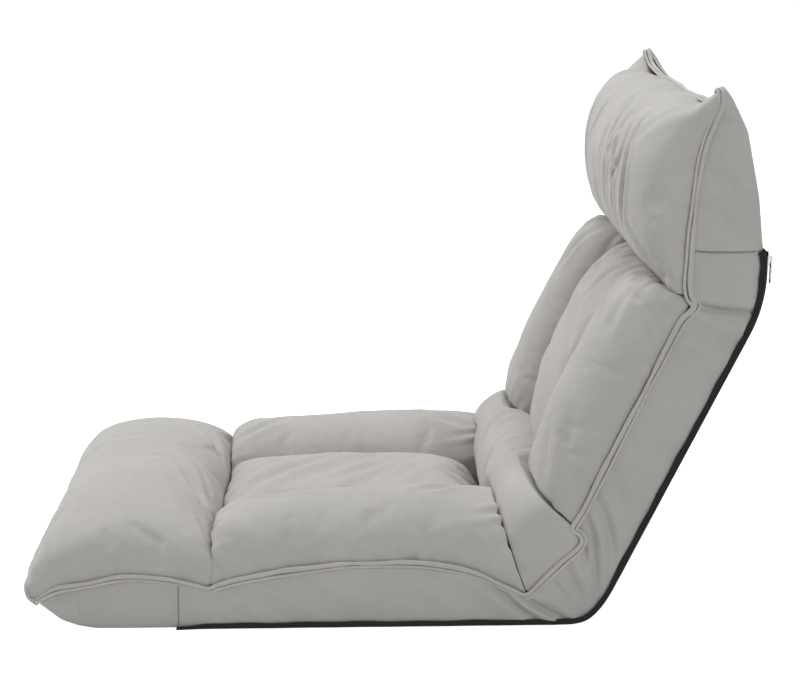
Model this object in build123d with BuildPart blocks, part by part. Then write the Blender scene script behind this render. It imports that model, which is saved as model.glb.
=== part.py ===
from build123d import *
import math
import os

os.makedirs("parts", exist_ok=True)

# Overall layout. Lengths along the seat count from its front tip, heights from the floor.
width = 540
front_tip_y = -400
hip_along = 771
hip_height = 28
neck_distance = 477.7

# Ratchet positions of the stored pose.
tooth_pitch = 6.5
tooth_count = 15
hip_steps = 10
neck_steps = 5

# Covers.
skin = 3
cloth = 2
cloth_lip = 10
base_cloth_start = 220
hip_cloth_start = 737
back_cloth_start = 36
back_cloth_end = 442
hip_bend_radius = 70
neck_bend_radius = 191
neck_cloth_top = 530
piping_radius = 3
cover_gap = 0.5

# Foam and pads.
foam_gap = 0.5
pad_gap = 0.4
pillow_gap = 1.5
seat_foam_top = 62
back_foam_front = 60
roll_inner = 110
pad_inset = 7

# Tube frame.
rail_inset = 35
tube_radius = 11
tube_wall = 1.5
cross_radius = 8
bend_radius = 60
seat_front_bar = 110
head_top_bar = 203
groove_gap = 0.3
strap_width = 50
strap_thick = 1.5
strap_gap = 0.1
strap_hook = 25
hook_slot = 30

# Ratchet hinges. Lengths count from the pivot.
wheel_thick = 4.4
side_gap = 0.15
plate_thick = 2.5
run_gap = 0.05
rivet_radius = 5
rivet_head_radius = 8
rivet_head = 1.5
housing_radius = 17
housing_low = 12
housing_high = 20.5
block_start = 41
body_length = 50
collar_start = 30
collar_end = 37
spigot_length = 36
tooth_tip_radius = 14.5
tooth_root_radius = 13.4
arm_width = 15
pawl_angle = 135
pawl_pin_radius = 2
pawl_lever = 15.5
pawl_nose = 2
pawl_back = 6.5
pawl_lift = 5.5
pawl_boss = 4
pawl_thick = 4.2
leaf_thick = 0.5
leaf_up = 17
leaf_tip = -14

# Zip fastener.
zip_inset = 9
zip_tape_width = 12
zip_tape_thick = 0.6
chain_width = 4
chain_thick = 1.6
slider_drop = 12
slider_length = 14
zip_gap = 0.3
zip_bar_radius = 0.9
slider_wall = 1.4
bar_reach = 2.7
lug_inner = 2.3
lug_thick = 1.1
eye_radius = 2.2
pull_neck = 7
pull_width = 8
pull_thick = 1.4
pull_length = 34

half_width = width / 2
rail_x = half_width - rail_inset
zip_x = half_width - zip_inset
pad_outer = half_width - pad_inset
slider_height = neck_cloth_top - slider_drop
inner_half = half_width - skin
foam_half = inner_half - foam_gap
spigot_radius = tube_radius - tube_wall - run_gap
groove_radius = tube_radius + groove_gap
plate_inner = wheel_thick / 2 + side_gap
plate_outer = plate_inner + plate_thick
back_angle = hip_steps * tooth_pitch
head_angle = back_angle + neck_steps * tooth_pitch


def leaning_frame(origin, angle):
    """Frame whose length leans back at the angle above the floor: x width, y length, z front."""
    front = (0, -math.sin(math.radians(angle)), math.cos(math.radians(angle)))
    return Plane(origin=origin, x_dir=(1, 0, 0), z_dir=front)


def cross_plane(frame, along):
    """Section across the length: local x is the width, local y the thickness."""
    origin = frame.from_local_coords(Vector(0, along, 0))
    return Plane(origin=origin, x_dir=frame.x_dir, z_dir=-frame.y_dir)


def side_plane(frame, across):
    """Section at one width: local x is the length, local y the thickness."""
    origin = frame.from_local_coords(Vector(across, 0, 0))
    return Plane(origin=origin, x_dir=frame.y_dir, z_dir=frame.x_dir)


def spot(frame, across, along, up):
    """World position of a point given in a frame."""
    return frame.from_local_coords(Vector(across, along, up))


def polar(radius, angle):
    return Vector(radius * math.cos(math.radians(angle)), radius * math.sin(math.radians(angle)))


# Each pawl's pin lies on the line that touches the notch roots, so the nose drops straight in.
pawl_pin = polar(tooth_root_radius, pawl_angle) + polar(pawl_lever, pawl_angle + 90)

seat_frame = leaning_frame((0, front_tip_y, 0), 0)
hip_seat = leaning_frame(spot(seat_frame, 0, hip_along, hip_height), 0)
back_frame = leaning_frame(hip_seat.origin, back_angle)
neck_back = leaning_frame(spot(back_frame, 0, neck_distance, 0), back_angle)
head_frame = leaning_frame(neck_back.origin, head_angle)
# The pillow sits on the sloping front of the head foam.
pillow_frame = leaning_frame(spot(seat_frame, 0, 901, 471), 83)


# ---------------------------------------------------------------- repeated shapes

def ratchet_housing(frame, across):
    """Two side plates round the toothed wheel, a block between them and a spigot for the tube."""
    with BuildPart() as housing:
        for side in (-1, 1):
            with BuildSketch(side_plane(frame, across + side * plate_inner)):
                Circle(housing_radius)
                with Locations((-body_length / 2, (housing_high - housing_low) / 2)):
                    Rectangle(body_length, housing_high + housing_low)
                Circle(rivet_radius, mode=Mode.SUBTRACT)
                with Locations((pawl_pin.X, pawl_pin.Y)):
                    Circle(pawl_pin_radius, mode=Mode.SUBTRACT)
            extrude(amount=side * plate_thick)
        with BuildSketch(side_plane(frame, across)):
            with Locations((-(body_length + block_start) / 2, (leaf_up - housing_low) / 2)):
                Rectangle(body_length - block_start, leaf_up + housing_low)
        extrude(amount=plate_inner, both=True)
        with BuildSketch(cross_plane(frame, -body_length)):
            with Locations((across, 0)):
                Circle(spigot_radius)
        extrude(amount=spigot_length)
    return housing


def ratchet_wheel(frame, across):
    """Toothed wheel with an arm, a collar and the spigot of the moving tube."""
    with BuildPart() as wheel:
        with BuildSketch(side_plane(frame, across)):
            Circle(tooth_tip_radius)
            for tooth in range(tooth_count):
                angle = pawl_angle - tooth * tooth_pitch
                root = polar(tooth_root_radius, angle)
                flank = (tooth_tip_radius - tooth_root_radius) * 1.4 + tooth_root_radius
                low = polar(flank, angle - tooth_pitch * 0.6)
                high = polar(flank, angle + tooth_pitch * 0.6)
                with BuildLine():
                    Polyline((root.X, root.Y), (low.X, low.Y), (high.X, high.Y), close=True)
                make_face(mode=Mode.SUBTRACT)
            with Locations((collar_end / 2, 0)):
                Rectangle(collar_end, arm_width)
            Circle(rivet_radius + run_gap, mode=Mode.SUBTRACT)
        extrude(amount=wheel_thick / 2, both=True)
        with BuildSketch(cross_plane(frame, collar_end)):
            with Locations((across, 0)):
                Circle(tube_radius)
        extrude(amount=collar_end - collar_start)
        with BuildSketch(cross_plane(frame, collar_end + spigot_length)):
            with Locations((across, 0)):
                Circle(spigot_radius)
        extrude(amount=spigot_length)
    return wheel


def ratchet_pawl(frame, across):
    """Pawl held just clear of the tooth tips; turning it down drops its nose into a notch."""
    lever = math.radians(pawl_angle - 90 + pawl_lift)
    along = frame.y_dir * math.cos(lever) + frame.z_dir * math.sin(lever)
    pivot = spot(frame, across, pawl_pin.X, pawl_pin.Y)
    shoulder = side_gap + 1.5 * pawl_nose
    with BuildPart() as pawl:
        with BuildSketch(Plane(origin=pivot, x_dir=along, z_dir=frame.x_dir)):
            with BuildLine():
                Polyline(
                    (pawl_lever, side_gap),
                    (pawl_lever + pawl_nose, shoulder),
                    (pawl_lever + pawl_nose, pawl_back),
                    (0, pawl_boss),
                    (0, -pawl_boss),
                    (pawl_lever - pawl_nose, shoulder),
                    close=True,
                )
            make_face()
            Circle(pawl_boss)
            Circle(pawl_pin_radius + run_gap, mode=Mode.SUBTRACT)
        extrude(amount=pawl_thick / 2, both=True)
    return pawl


def rivet_pair(frame):
    """Headed pivot rivets of the left and right hinge."""
    with BuildPart() as rivets:
        for side in (-1, 1):
            with BuildSketch(side_plane(frame, side * rail_x)):
                Circle(rivet_radius)
            extrude(amount=plate_outer, both=True)
            for face in (-1, 1):
                with BuildSketch(side_plane(frame, side * rail_x + face * plate_outer)):
                    Circle(rivet_head_radius)
                extrude(amount=face * rivet_head)
    return rivets


def pawl_pin_pair(frame):
    """Plain pins that carry the left and right pawl."""
    with BuildPart() as pins:
        for side in (-1, 1):
            with BuildSketch(side_plane(frame, side * rail_x)):
                with Locations((pawl_pin.X, pawl_pin.Y)):
                    Circle(pawl_pin_radius)
            extrude(amount=plate_outer, both=True)
    return pins


def leaf_spring_pair(frame):
    """Flat springs lying over the left and right pawl."""
    with BuildPart() as springs:
        for side in (-1, 1):
            with BuildSketch(side_plane(frame, side * rail_x)):
                with Locations(((leaf_tip - body_length) / 2, leaf_up + leaf_thick / 2)):
                    Rectangle(leaf_tip + body_length, leaf_thick)
            extrude(amount=wheel_thick / 2, both=True)
    return springs


def cross_tube(frame, along, up):
    """Round tube between the rails, its ends shaped to the rails."""
    with BuildPart() as tube:
        with BuildSketch(side_plane(frame, 0)):
            with Locations((along, up)):
                Circle(cross_radius)
                Circle(cross_radius - tube_wall, mode=Mode.SUBTRACT)
        extrude(amount=rail_x, both=True)
        with BuildSketch(cross_plane(frame, along + 2 * cross_radius)):
            with Locations((-rail_x, up), (rail_x, up)):
                Circle(tube_radius)
        extrude(amount=4 * cross_radius, mode=Mode.SUBTRACT)
    return tube


def strap_set(frame, places, up):
    """Webbing straps stretched over both rails and hooked under them."""
    outer = tube_radius + strap_gap + strap_thick
    inner = tube_radius + strap_gap
    with BuildPart() as straps:
        for along in places:
            with BuildSketch(cross_plane(frame, along + strap_width / 2)):
                with Locations((0, up)):
                    SlotCenterToCenter(2 * rail_x, 2 * outer)
                    SlotCenterToCenter(2 * rail_x, 2 * inner, mode=Mode.SUBTRACT)
                with Locations((0, up - outer)):
                    Rectangle(2 * (rail_x - strap_hook), 2 * outer - 1, mode=Mode.SUBTRACT)
            extrude(amount=strap_width)
    return straps


def long_pad(frame, base, inner, outer, stations, draw=0.12):
    """Padded roll along a frame: flat underside, bowed sides and a crown at each station."""
    with BuildPart() as pad:
        for along, crown in stations:
            rise = crown - base
            middle = (inner + outer) / 2
            reach = (outer - inner) / 2
            pull = draw * rise
            with BuildSketch(cross_plane(frame, along)):
                with BuildLine():
                    Line((middle - reach, base), (middle + reach, base))
                    ThreePointArc(
                        (middle + reach, base),
                        (middle + reach - 0.3 * pull, base + 0.42 * rise),
                        (middle + reach - 2.6 * pull, base + 0.8 * rise),
                    )
                    ThreePointArc(
                        (middle + reach - 2.6 * pull, base + 0.8 * rise),
                        (middle, crown),
                        (middle - reach + 2.6 * pull, base + 0.8 * rise),
                    )
                    ThreePointArc(
                        (middle - reach + 2.6 * pull, base + 0.8 * rise),
                        (middle - reach + 0.3 * pull, base + 0.42 * rise),
                        (middle - reach, base),
                    )
                make_face()
        loft()
    return pad


def mirrored(stations):
    """Stations given by their inset from one side of the chair, repeated for the other side."""
    one_half = [(half_width - inset, fullness) for inset, fullness in stations]
    other_half = [(-across, fullness) for across, fullness in one_half]
    return other_half + list(reversed(one_half))


def cloth_profile(plane):
    """Flat black cloth with a lip turned up over each side."""
    with BuildSketch(plane) as profile:
        with Locations((0, cloth / 2)):
            Rectangle(width, cloth)
        for side in (-1, 1):
            with Locations((side * (inner_half + skin / 2), cloth_lip / 2)):
                Rectangle(skin, cloth_lip)
    return profile.sketch


# ---------------------------------------------------------------- seat frame and hinges

with BuildPart() as seat_tube:
    with BuildLine():
        FilletPolyline(
            spot(hip_seat, -rail_x, -body_length, 0),
            spot(seat_frame, -rail_x, seat_front_bar, hip_height),
            spot(seat_frame, rail_x, seat_front_bar, hip_height),
            spot(hip_seat, rail_x, -body_length, 0),
            radius=bend_radius,
        )
    with BuildSketch(cross_plane(hip_seat, -body_length)):
        with Locations((-rail_x, 0)):
            Circle(tube_radius)
            Circle(tube_radius - tube_wall, mode=Mode.SUBTRACT)
    sweep()
seat_tube.part.label = "seat_tube"
export_step(seat_tube.part, "parts/seat_tube.step")

cross_front_along = 300
cross_rear_along = 520
seat_cross_front = cross_tube(seat_frame, cross_front_along, hip_height)
seat_cross_front.part.label = "seat_cross_front"
export_step(seat_cross_front.part, "parts/seat_cross_front.step")
seat_cross_rear = cross_tube(seat_frame, cross_rear_along, hip_height)
seat_cross_rear.part.label = "seat_cross_rear"
export_step(seat_cross_rear.part, "parts/seat_cross_rear.step")

seat_strap_places = (210, 370, 450, 600)
seat_straps = strap_set(seat_frame, seat_strap_places, hip_height)
seat_straps.part.label = "seat_straps"
export_step(seat_straps.part, "parts/seat_straps.step")

for side_name, side in (("left", 1), ("right", -1)):
    hip_housing = ratchet_housing(hip_seat, side * rail_x)
    hip_housing.part.label = "hip_housing_" + side_name
    export_step(hip_housing.part, "parts/hip_housing_" + side_name + ".step")
    hip_wheel = ratchet_wheel(back_frame, side * rail_x)
    hip_wheel.part.label = "hip_wheel_" + side_name
    export_step(hip_wheel.part, "parts/hip_wheel_" + side_name + ".step")
    hip_pawl = ratchet_pawl(hip_seat, side * rail_x)
    hip_pawl.part.label = "hip_pawl_" + side_name
    export_step(hip_pawl.part, "parts/hip_pawl_" + side_name + ".step")
    neck_housing = ratchet_housing(neck_back, side * rail_x)
    neck_housing.part.label = "neck_housing_" + side_name
    export_step(neck_housing.part, "parts/neck_housing_" + side_name + ".step")
    neck_wheel = ratchet_wheel(head_frame, side * rail_x)
    neck_wheel.part.label = "neck_wheel_" + side_name
    export_step(neck_wheel.part, "parts/neck_wheel_" + side_name + ".step")
    neck_pawl = ratchet_pawl(neck_back, side * rail_x)
    neck_pawl.part.label = "neck_pawl_" + side_name
    export_step(neck_pawl.part, "parts/neck_pawl_" + side_name + ".step")

for joint_name, hinge_frame in (("hip", hip_seat), ("neck", neck_back)):
    rivets = rivet_pair(hinge_frame)
    rivets.part.label = joint_name + "_rivets"
    export_step(rivets.part, "parts/" + joint_name + "_rivets.step")
    pawl_pins = pawl_pin_pair(hinge_frame)
    pawl_pins.part.label = joint_name + "_pawl_pins"
    export_step(pawl_pins.part, "parts/" + joint_name + "_pawl_pins.step")
    leaf_springs = leaf_spring_pair(hinge_frame)
    leaf_springs.part.label = joint_name + "_leaf_springs"
    export_step(leaf_springs.part, "parts/" + joint_name + "_leaf_springs.step")

# ---------------------------------------------------------------- back and head frame

back_tube_end = neck_distance - body_length
for side_name, side in (("left", 1), ("right", -1)):
    with BuildPart() as back_tube:
        with BuildSketch(cross_plane(back_frame, back_tube_end)):
            with Locations((side * rail_x, 0)):
                Circle(tube_radius)
                Circle(tube_radius - tube_wall, mode=Mode.SUBTRACT)
        extrude(amount=back_tube_end - collar_end)
    back_tube.part.label = "back_tube_" + side_name
    export_step(back_tube.part, "parts/back_tube_" + side_name + ".step")

back_cross_low_along = 130
back_cross_high_along = 375
back_cross_low = cross_tube(back_frame, back_cross_low_along, 0)
back_cross_low.part.label = "back_cross_low"
export_step(back_cross_low.part, "parts/back_cross_low.step")
back_cross_high = cross_tube(back_frame, back_cross_high_along, 0)
back_cross_high.part.label = "back_cross_high"
export_step(back_cross_high.part, "parts/back_cross_high.step")

back_strap_places = (185, 255, 325)
back_straps = strap_set(back_frame, back_strap_places, 0)
back_straps.part.label = "back_straps"
export_step(back_straps.part, "parts/back_straps.step")

with BuildPart() as head_tube:
    with BuildLine():
        FilletPolyline(
            spot(head_frame, -rail_x, collar_end, 0),
            spot(head_frame, -rail_x, head_top_bar, 0),
            spot(head_frame, rail_x, head_top_bar, 0),
            spot(head_frame, rail_x, collar_end, 0),
            radius=bend_radius,
        )
    with BuildSketch(cross_plane(head_frame, collar_end)):
        with Locations((-rail_x, 0)):
            Circle(tube_radius)
            Circle(tube_radius - tube_wall, mode=Mode.SUBTRACT)
    sweep()
head_tube.part.label = "head_tube"
export_step(head_tube.part, "parts/head_tube.step")

# ---------------------------------------------------------------- foam cores

housing_slot = plate_outer + rivet_head + groove_gap
strap_slot = tube_radius + strap_gap + strap_thick + groove_gap

with BuildPart() as seat_foam:
    with BuildSketch(side_plane(seat_frame, 0)):
        with BuildLine():
            Polyline(
                (98, cloth + 1.5),
                (51, 19),
                (33, 36),
                (9, seat_foam_top),
                (655, seat_foam_top),
                (684, 42),
                (731, cloth + 1.5),
                close=True,
            )
        make_face()
    extrude(amount=foam_half, both=True)
    with BuildLine():
        FilletPolyline(
            spot(hip_seat, -rail_x, -body_length, 0),
            spot(seat_frame, -rail_x, seat_front_bar, hip_height),
            spot(seat_frame, rail_x, seat_front_bar, hip_height),
            spot(hip_seat, rail_x, -body_length, 0),
            radius=bend_radius,
        )
    with BuildSketch(cross_plane(hip_seat, -body_length)):
        with Locations((-rail_x, 0)):
            Circle(groove_radius)
        with Locations((-rail_x, -hip_height / 2)):
            Rectangle(2 * groove_radius, hip_height)
    sweep(mode=Mode.SUBTRACT)
    with BuildSketch(side_plane(seat_frame, 0)):
        for along in (cross_front_along, cross_rear_along):
            with Locations((along, hip_height)):
                Circle(cross_radius + groove_gap)
            with Locations((along, hip_height / 2)):
                Rectangle(2 * (cross_radius + groove_gap), hip_height)
    extrude(amount=rail_x, both=True, mode=Mode.SUBTRACT)
    for along in seat_strap_places:
        with BuildSketch(cross_plane(seat_frame, along + strap_width / 2 + groove_gap)):
            with Locations((0, hip_height + tube_radius + strap_thick / 2 + strap_gap)):
                Rectangle(2 * rail_x, strap_thick + 2 * groove_gap)
            with Locations((-rail_x, hip_height), (rail_x, hip_height)):
                Circle(strap_slot)
            for side in (-1, 1):
                with Locations((side * (rail_x - hook_slot / 2), hip_height / 2)):
                    Rectangle(hook_slot, hip_height)
        extrude(amount=strap_width + 2 * groove_gap, mode=Mode.SUBTRACT)
    for side in (-1, 1):
        with BuildSketch(side_plane(hip_seat, side * rail_x)):
            Rectangle(2 * body_length + 4, 2 * (housing_high + groove_gap))
            with Locations((-body_length / 2, -hip_height / 2)):
                Rectangle(body_length + 4, hip_height)
        extrude(amount=housing_slot, both=True, mode=Mode.SUBTRACT)
seat_foam.part.label = "seat_foam"
export_step(seat_foam.part, "parts/seat_foam.step")

with BuildPart() as back_foam:
    with BuildSketch(side_plane(back_frame, 0)):
        with BuildLine():
            Polyline(
                (40, cloth + 0.5 - hip_height),
                (68, 20),
                (84, 41),
                (103, back_foam_front),
                (430, back_foam_front),
                (449, 55),
                (455, 0),
                (455, cloth + 1 - hip_height),
                close=True,
            )
        make_face()
    extrude(amount=foam_half, both=True)
    for side in (-1, 1):
        with BuildSketch(cross_plane(back_frame, 0)):
            with Locations((side * rail_x, 0)):
                Circle(groove_radius)
            with Locations((side * rail_x, -hip_height / 2)):
                Rectangle(2 * groove_radius, hip_height)
        extrude(amount=-neck_distance, mode=Mode.SUBTRACT)
        with BuildSketch(side_plane(neck_back, side * rail_x)):
            with Locations((-body_length / 2, 0)):
                Rectangle(body_length + 4, 2 * (housing_high + groove_gap))
            with Locations((-body_length / 2, -hip_height / 2)):
                Rectangle(body_length + 4, hip_height)
        extrude(amount=housing_slot, both=True, mode=Mode.SUBTRACT)
    with BuildSketch(side_plane(back_frame, 0)):
        for along in (back_cross_low_along, back_cross_high_along):
            with Locations((along, 0)):
                Circle(cross_radius + groove_gap)
            with Locations((along, -hip_height / 2)):
                Rectangle(2 * (cross_radius + groove_gap), hip_height)
    extrude(amount=rail_x, both=True, mode=Mode.SUBTRACT)
    for along in back_strap_places:
        with BuildSketch(cross_plane(back_frame, along + strap_width / 2 + groove_gap)):
            with Locations((0, tube_radius + strap_thick / 2 + strap_gap)):
                Rectangle(2 * rail_x, strap_thick + 2 * groove_gap)
            with Locations((-rail_x, 0), (rail_x, 0)):
                Circle(strap_slot)
            for side in (-1, 1):
                with Locations((side * (rail_x - hook_slot / 2), -hip_height / 2)):
                    Rectangle(hook_slot, hip_height)
        extrude(amount=strap_width + 2 * groove_gap, mode=Mode.SUBTRACT)
back_foam.part.label = "back_foam"
export_step(back_foam.part, "parts/back_foam.step")

head_foam_start = 26
with BuildPart() as head_foam:
    with BuildSketch(side_plane(head_frame, 0)):
        with BuildLine():
            Polyline(
                (head_foam_start, -22),
                (36, 64.5),
                (262, 5),
                (268, -1),
                (249, -9),
                (228, -18),
                (172, -22),
                close=True,
            )
        make_face()
    extrude(amount=foam_half, both=True)
    with BuildLine():
        FilletPolyline(
            spot(head_frame, -rail_x, head_foam_start, 0),
            spot(head_frame, -rail_x, head_top_bar, 0),
            spot(head_frame, rail_x, head_top_bar, 0),
            spot(head_frame, rail_x, head_foam_start, 0),
            radius=bend_radius,
        )
    with BuildSketch(cross_plane(head_frame, head_foam_start)):
        with Locations((-rail_x, 0)):
            Circle(groove_radius)
        with Locations((-rail_x, -hip_height / 2)):
            Rectangle(2 * groove_radius, hip_height)
    sweep(mode=Mode.SUBTRACT)
head_foam.part.label = "head_foam"
export_step(head_foam.part, "parts/head_foam.step")

# ---------------------------------------------------------------- pads

with BuildPart() as front_roll:
    for across, fullness in mirrored(((6, 0.3), (30, 0.8), (80, 0.96), (170, 1))):
        rise = 94 * fullness
        base = seat_foam_top + pad_gap
        with BuildSketch(side_plane(seat_frame, across)):
            with BuildLine():
                Line((9, base), (253, base))
                ThreePointArc((253, base), (256, base + 0.35 * rise), (243, base + 0.72 * rise))
                ThreePointArc((243, base + 0.72 * rise), (150, base + rise), (50, base + 0.9 * rise))
                ThreePointArc((50, base + 0.9 * rise), (22, base + 0.48 * rise), (9, base))
            make_face()
    loft()
front_roll.part.label = "front_roll"
export_step(front_roll.part, "parts/front_roll.step")

seat_roll_stations = ((262, 112), (285, 150), (370, 166), (480, 172), (570, 172), (612, 162), (638, 138))
seat_pad_stations = ((262, 98), (290, 112), (450, 119), (600, 112), (636, 96))
seat_base = seat_foam_top + pad_gap
seat_roll_left = long_pad(seat_frame, seat_base, roll_inner, pad_outer, seat_roll_stations)
seat_roll_left.part.label = "seat_roll_left"
export_step(seat_roll_left.part, "parts/seat_roll_left.step")
seat_roll_right = long_pad(seat_frame, seat_base, -pad_outer, -roll_inner, seat_roll_stations)
seat_roll_right.part.label = "seat_roll_right"
export_step(seat_roll_right.part, "parts/seat_roll_right.step")
centre_edge = roll_inner - 3.5
seat_centre_pad = long_pad(seat_frame, seat_base, -centre_edge, centre_edge, seat_pad_stations, 0.08)
seat_centre_pad.part.label = "seat_centre_pad"
export_step(seat_centre_pad.part, "parts/seat_centre_pad.step")

back_roll_stations = ((132, 118), (155, 137), (240, 146), (340, 146), (400, 141), (438, 121))
back_pad_stations = ((134, 84), (165, 98), (290, 107), (410, 104), (436, 90))
back_base = back_foam_front + pad_gap
back_roll_left = long_pad(back_frame, back_base, roll_inner, pad_outer, back_roll_stations)
back_roll_left.part.label = "back_roll_left"
export_step(back_roll_left.part, "parts/back_roll_left.step")
back_roll_right = long_pad(back_frame, back_base, -pad_outer, -roll_inner, back_roll_stations)
back_roll_right.part.label = "back_roll_right"
export_step(back_roll_right.part, "parts/back_roll_right.step")
back_centre_pad = long_pad(back_frame, back_base, -centre_edge, centre_edge, back_pad_stations, 0.08)
back_centre_pad.part.label = "back_centre_pad"
export_step(back_centre_pad.part, "parts/back_centre_pad.step")

with BuildPart() as head_pillow:
    for across, fullness in mirrored(((6, 0.35), (28, 0.82), (80, 0.96), (170, 1))):
        depth = 115 * fullness
        with BuildSketch(side_plane(pillow_frame, across)):
            with BuildLine():
                Line((38, pillow_gap), (244, pillow_gap))
                ThreePointArc((244, pillow_gap), (263, 0.33 * depth), (262, 0.62 * depth))
                ThreePointArc((262, 0.62 * depth), (155, depth), (66, 0.68 * depth))
                ThreePointArc((66, 0.68 * depth), (50, 0.32 * depth), (38, pillow_gap))
            make_face()
    loft()
head_pillow.part.label = "head_pillow"
export_step(head_pillow.part, "parts/head_pillow.step")

with BuildPart() as lumbar_roll:
    for across, fullness in mirrored(((6, 0.72), (30, 0.9), (80, 0.98), (170, 1))):
        with BuildSketch(side_plane(seat_frame, across)):
            with BuildLine():
                Line((647, 66), (701, 52))
                ThreePointArc((701, 52), (736, 78), (743, 118))
                ThreePointArc((743, 118), (736, 118 + 46 * fullness), (706, 118 + 66 * fullness))
                ThreePointArc((706, 118 + 66 * fullness), (664, 118 + 50 * fullness), (645, 120))
                Line((645, 120), (647, 66))
            make_face()
    loft()
lumbar_roll.part.label = "lumbar_roll"
export_step(lumbar_roll.part, "parts/lumbar_roll.step")

with BuildPart() as neck_fold:
    for across, fullness in mirrored(((8, 0.5), (35, 0.88), (80, 0.97), (170, 1))):
        with BuildSketch(side_plane(neck_back, across)):
            with BuildLine():
                Line((-18, 79), (3, 86))
                ThreePointArc((3, 86), (5.5, 86 + 14 * fullness), (4, 86 + 26 * fullness))
                ThreePointArc((4, 86 + 26 * fullness), (-9, 86 + 36 * fullness), (-26, 84 + 24 * fullness))
                ThreePointArc((-26, 84 + 24 * fullness), (-24, 82 + 10 * fullness), (-18, 79))
            make_face()
    loft()
neck_fold.part.label = "neck_fold"
export_step(neck_fold.part, "parts/neck_fold.step")

# ---------------------------------------------------------------- grey covers

with BuildPart() as seat_boxing:
    for side in (-1, 1):
        with BuildSketch(side_plane(seat_frame, side * inner_half)):
            with BuildLine():
                Polyline(
                    (218, 0),
                    (96, 0),
                    (49, 15),
                    (29, 33),
                    (2, 62),
                    (45, 62),
                    (148, 80),
                    (257, 63),
                    (381, 88),
                    (484, 97),
                    (573, 92),
                    (657, 63),
                    (689, 44),
                    (731, cloth_lip + cover_gap),
                    (218, cloth_lip + cover_gap),
                    close=True,
                )
            make_face()
        extrude(amount=side * skin)
    with BuildSketch(side_plane(seat_frame, 0)):
        with BuildLine():
            Polyline(
                (218, 0),
                (96, 0),
                (49, 15),
                (29, 33),
                (2, 62),
                (6, 62),
                (31.5, 35),
                (50, 18),
                (97, skin),
                (218, skin),
                close=True,
            )
        make_face()
    extrude(amount=inner_half, both=True)
seat_boxing.part.label = "seat_boxing"
export_step(seat_boxing.part, "parts/seat_boxing.step")

lip_top = cloth_lip + cover_gap - hip_height
with BuildPart() as back_boxing:
    for side in (-1, 1):
        with BuildSketch(side_plane(back_frame, side * inner_half)):
            with BuildLine():
                Polyline(
                    (39, lip_top),
                    (79, 41),
                    (99, 60),
                    (130, 61),
                    (271, 63),
                    (417, 64),
                    (449, 56),
                    (449, lip_top),
                    close=True,
                )
            make_face()
        extrude(amount=side * skin)
back_boxing.part.label = "back_boxing"
export_step(back_boxing.part, "parts/back_boxing.step")

with BuildPart() as head_hood:
    for side in (-1, 1):
        with BuildSketch(side_plane(head_frame, side * inner_half)):
            with BuildLine():
                Polyline(
                    (26, -18),
                    (37, 67),
                    (56, 66),
                    (109, 59),
                    (161, 49),
                    (211, 34),
                    (242, 19),
                    (266, 6),
                    (272, -2),
                    (252, -13),
                    (229, -22),
                    (172, -26),
                    (72, -26),
                    close=True,
                )
            make_face()
        extrude(amount=side * skin)
    with BuildSketch(side_plane(head_frame, 0)):
        with BuildLine():
            Polyline(
                (72, -26),
                (172, -26),
                (229, -22),
                (252, -13),
                (272, -2),
                (266, 6),
                (264, 4),
                (269, -1.5),
                (250, -10),
                (228, -19),
                (172, -23),
                (72, -23),
                close=True,
            )
        make_face()
    extrude(amount=inner_half, both=True)
head_hood.part.label = "head_hood"
export_step(head_hood.part, "parts/head_hood.step")

with BuildPart() as hip_gusset:
    for side in (-1, 1):
        with BuildSketch(side_plane(seat_frame, side * inner_half)):
            low_rear = seat_frame.to_local_coords(spot(back_frame, 0, 39, lip_top))
            high_rear = seat_frame.to_local_coords(spot(back_frame, 0, 77, 42))
            with BuildLine():
                Polyline(
                    (732.5, 12),
                    (745, 12),
                    (773, 20.5),
                    (796, 45),
                    (low_rear.Y - 1.2, low_rear.Z + 0.5),
                    (high_rear.Y - 1, high_rear.Z - 0.5),
                    (719, 70),
                    (692, 46),
                    close=True,
                )
            make_face()
        extrude(amount=side * skin)
hip_gusset.part.label = "hip_gussets"
export_step(hip_gusset.part, "parts/hip_gussets.step")

with BuildPart() as neck_gusset:
    for side in (-1, 1):
        head_rear = neck_back.to_local_coords(spot(head_frame, 0, 25, -18))
        head_front = neck_back.to_local_coords(spot(head_frame, 0, 36, 66))
        with BuildSketch(side_plane(neck_back, side * inner_half)):
            with BuildLine():
                Polyline(
                    (-28, -16.5),
                    (-28, 56),
                    (-20.2, 61),
                    (-19.9, 69.4),
                    (-10.2, 74.9),
                    (head_front.Y - 0.5, head_front.Z),
                    (head_rear.Y - 1, head_rear.Z),
                    (5, -12.5),
                    (-10, -15.5),
                    close=True,
                )
            make_face()
        extrude(amount=side * skin)
neck_gusset.part.label = "neck_gussets"
export_step(neck_gusset.part, "parts/neck_gussets.step")

# ---------------------------------------------------------------- black covers

with BuildPart() as seat_base_cloth:
    base_section = cloth_profile(cross_plane(seat_frame, base_cloth_start))
    extrude(base_section, amount=hip_cloth_start - cover_gap - base_cloth_start, dir=seat_frame.y_dir)
seat_base_cloth.part.label = "seat_base_cloth"
export_step(seat_base_cloth.part, "parts/seat_base_cloth.step")

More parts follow.
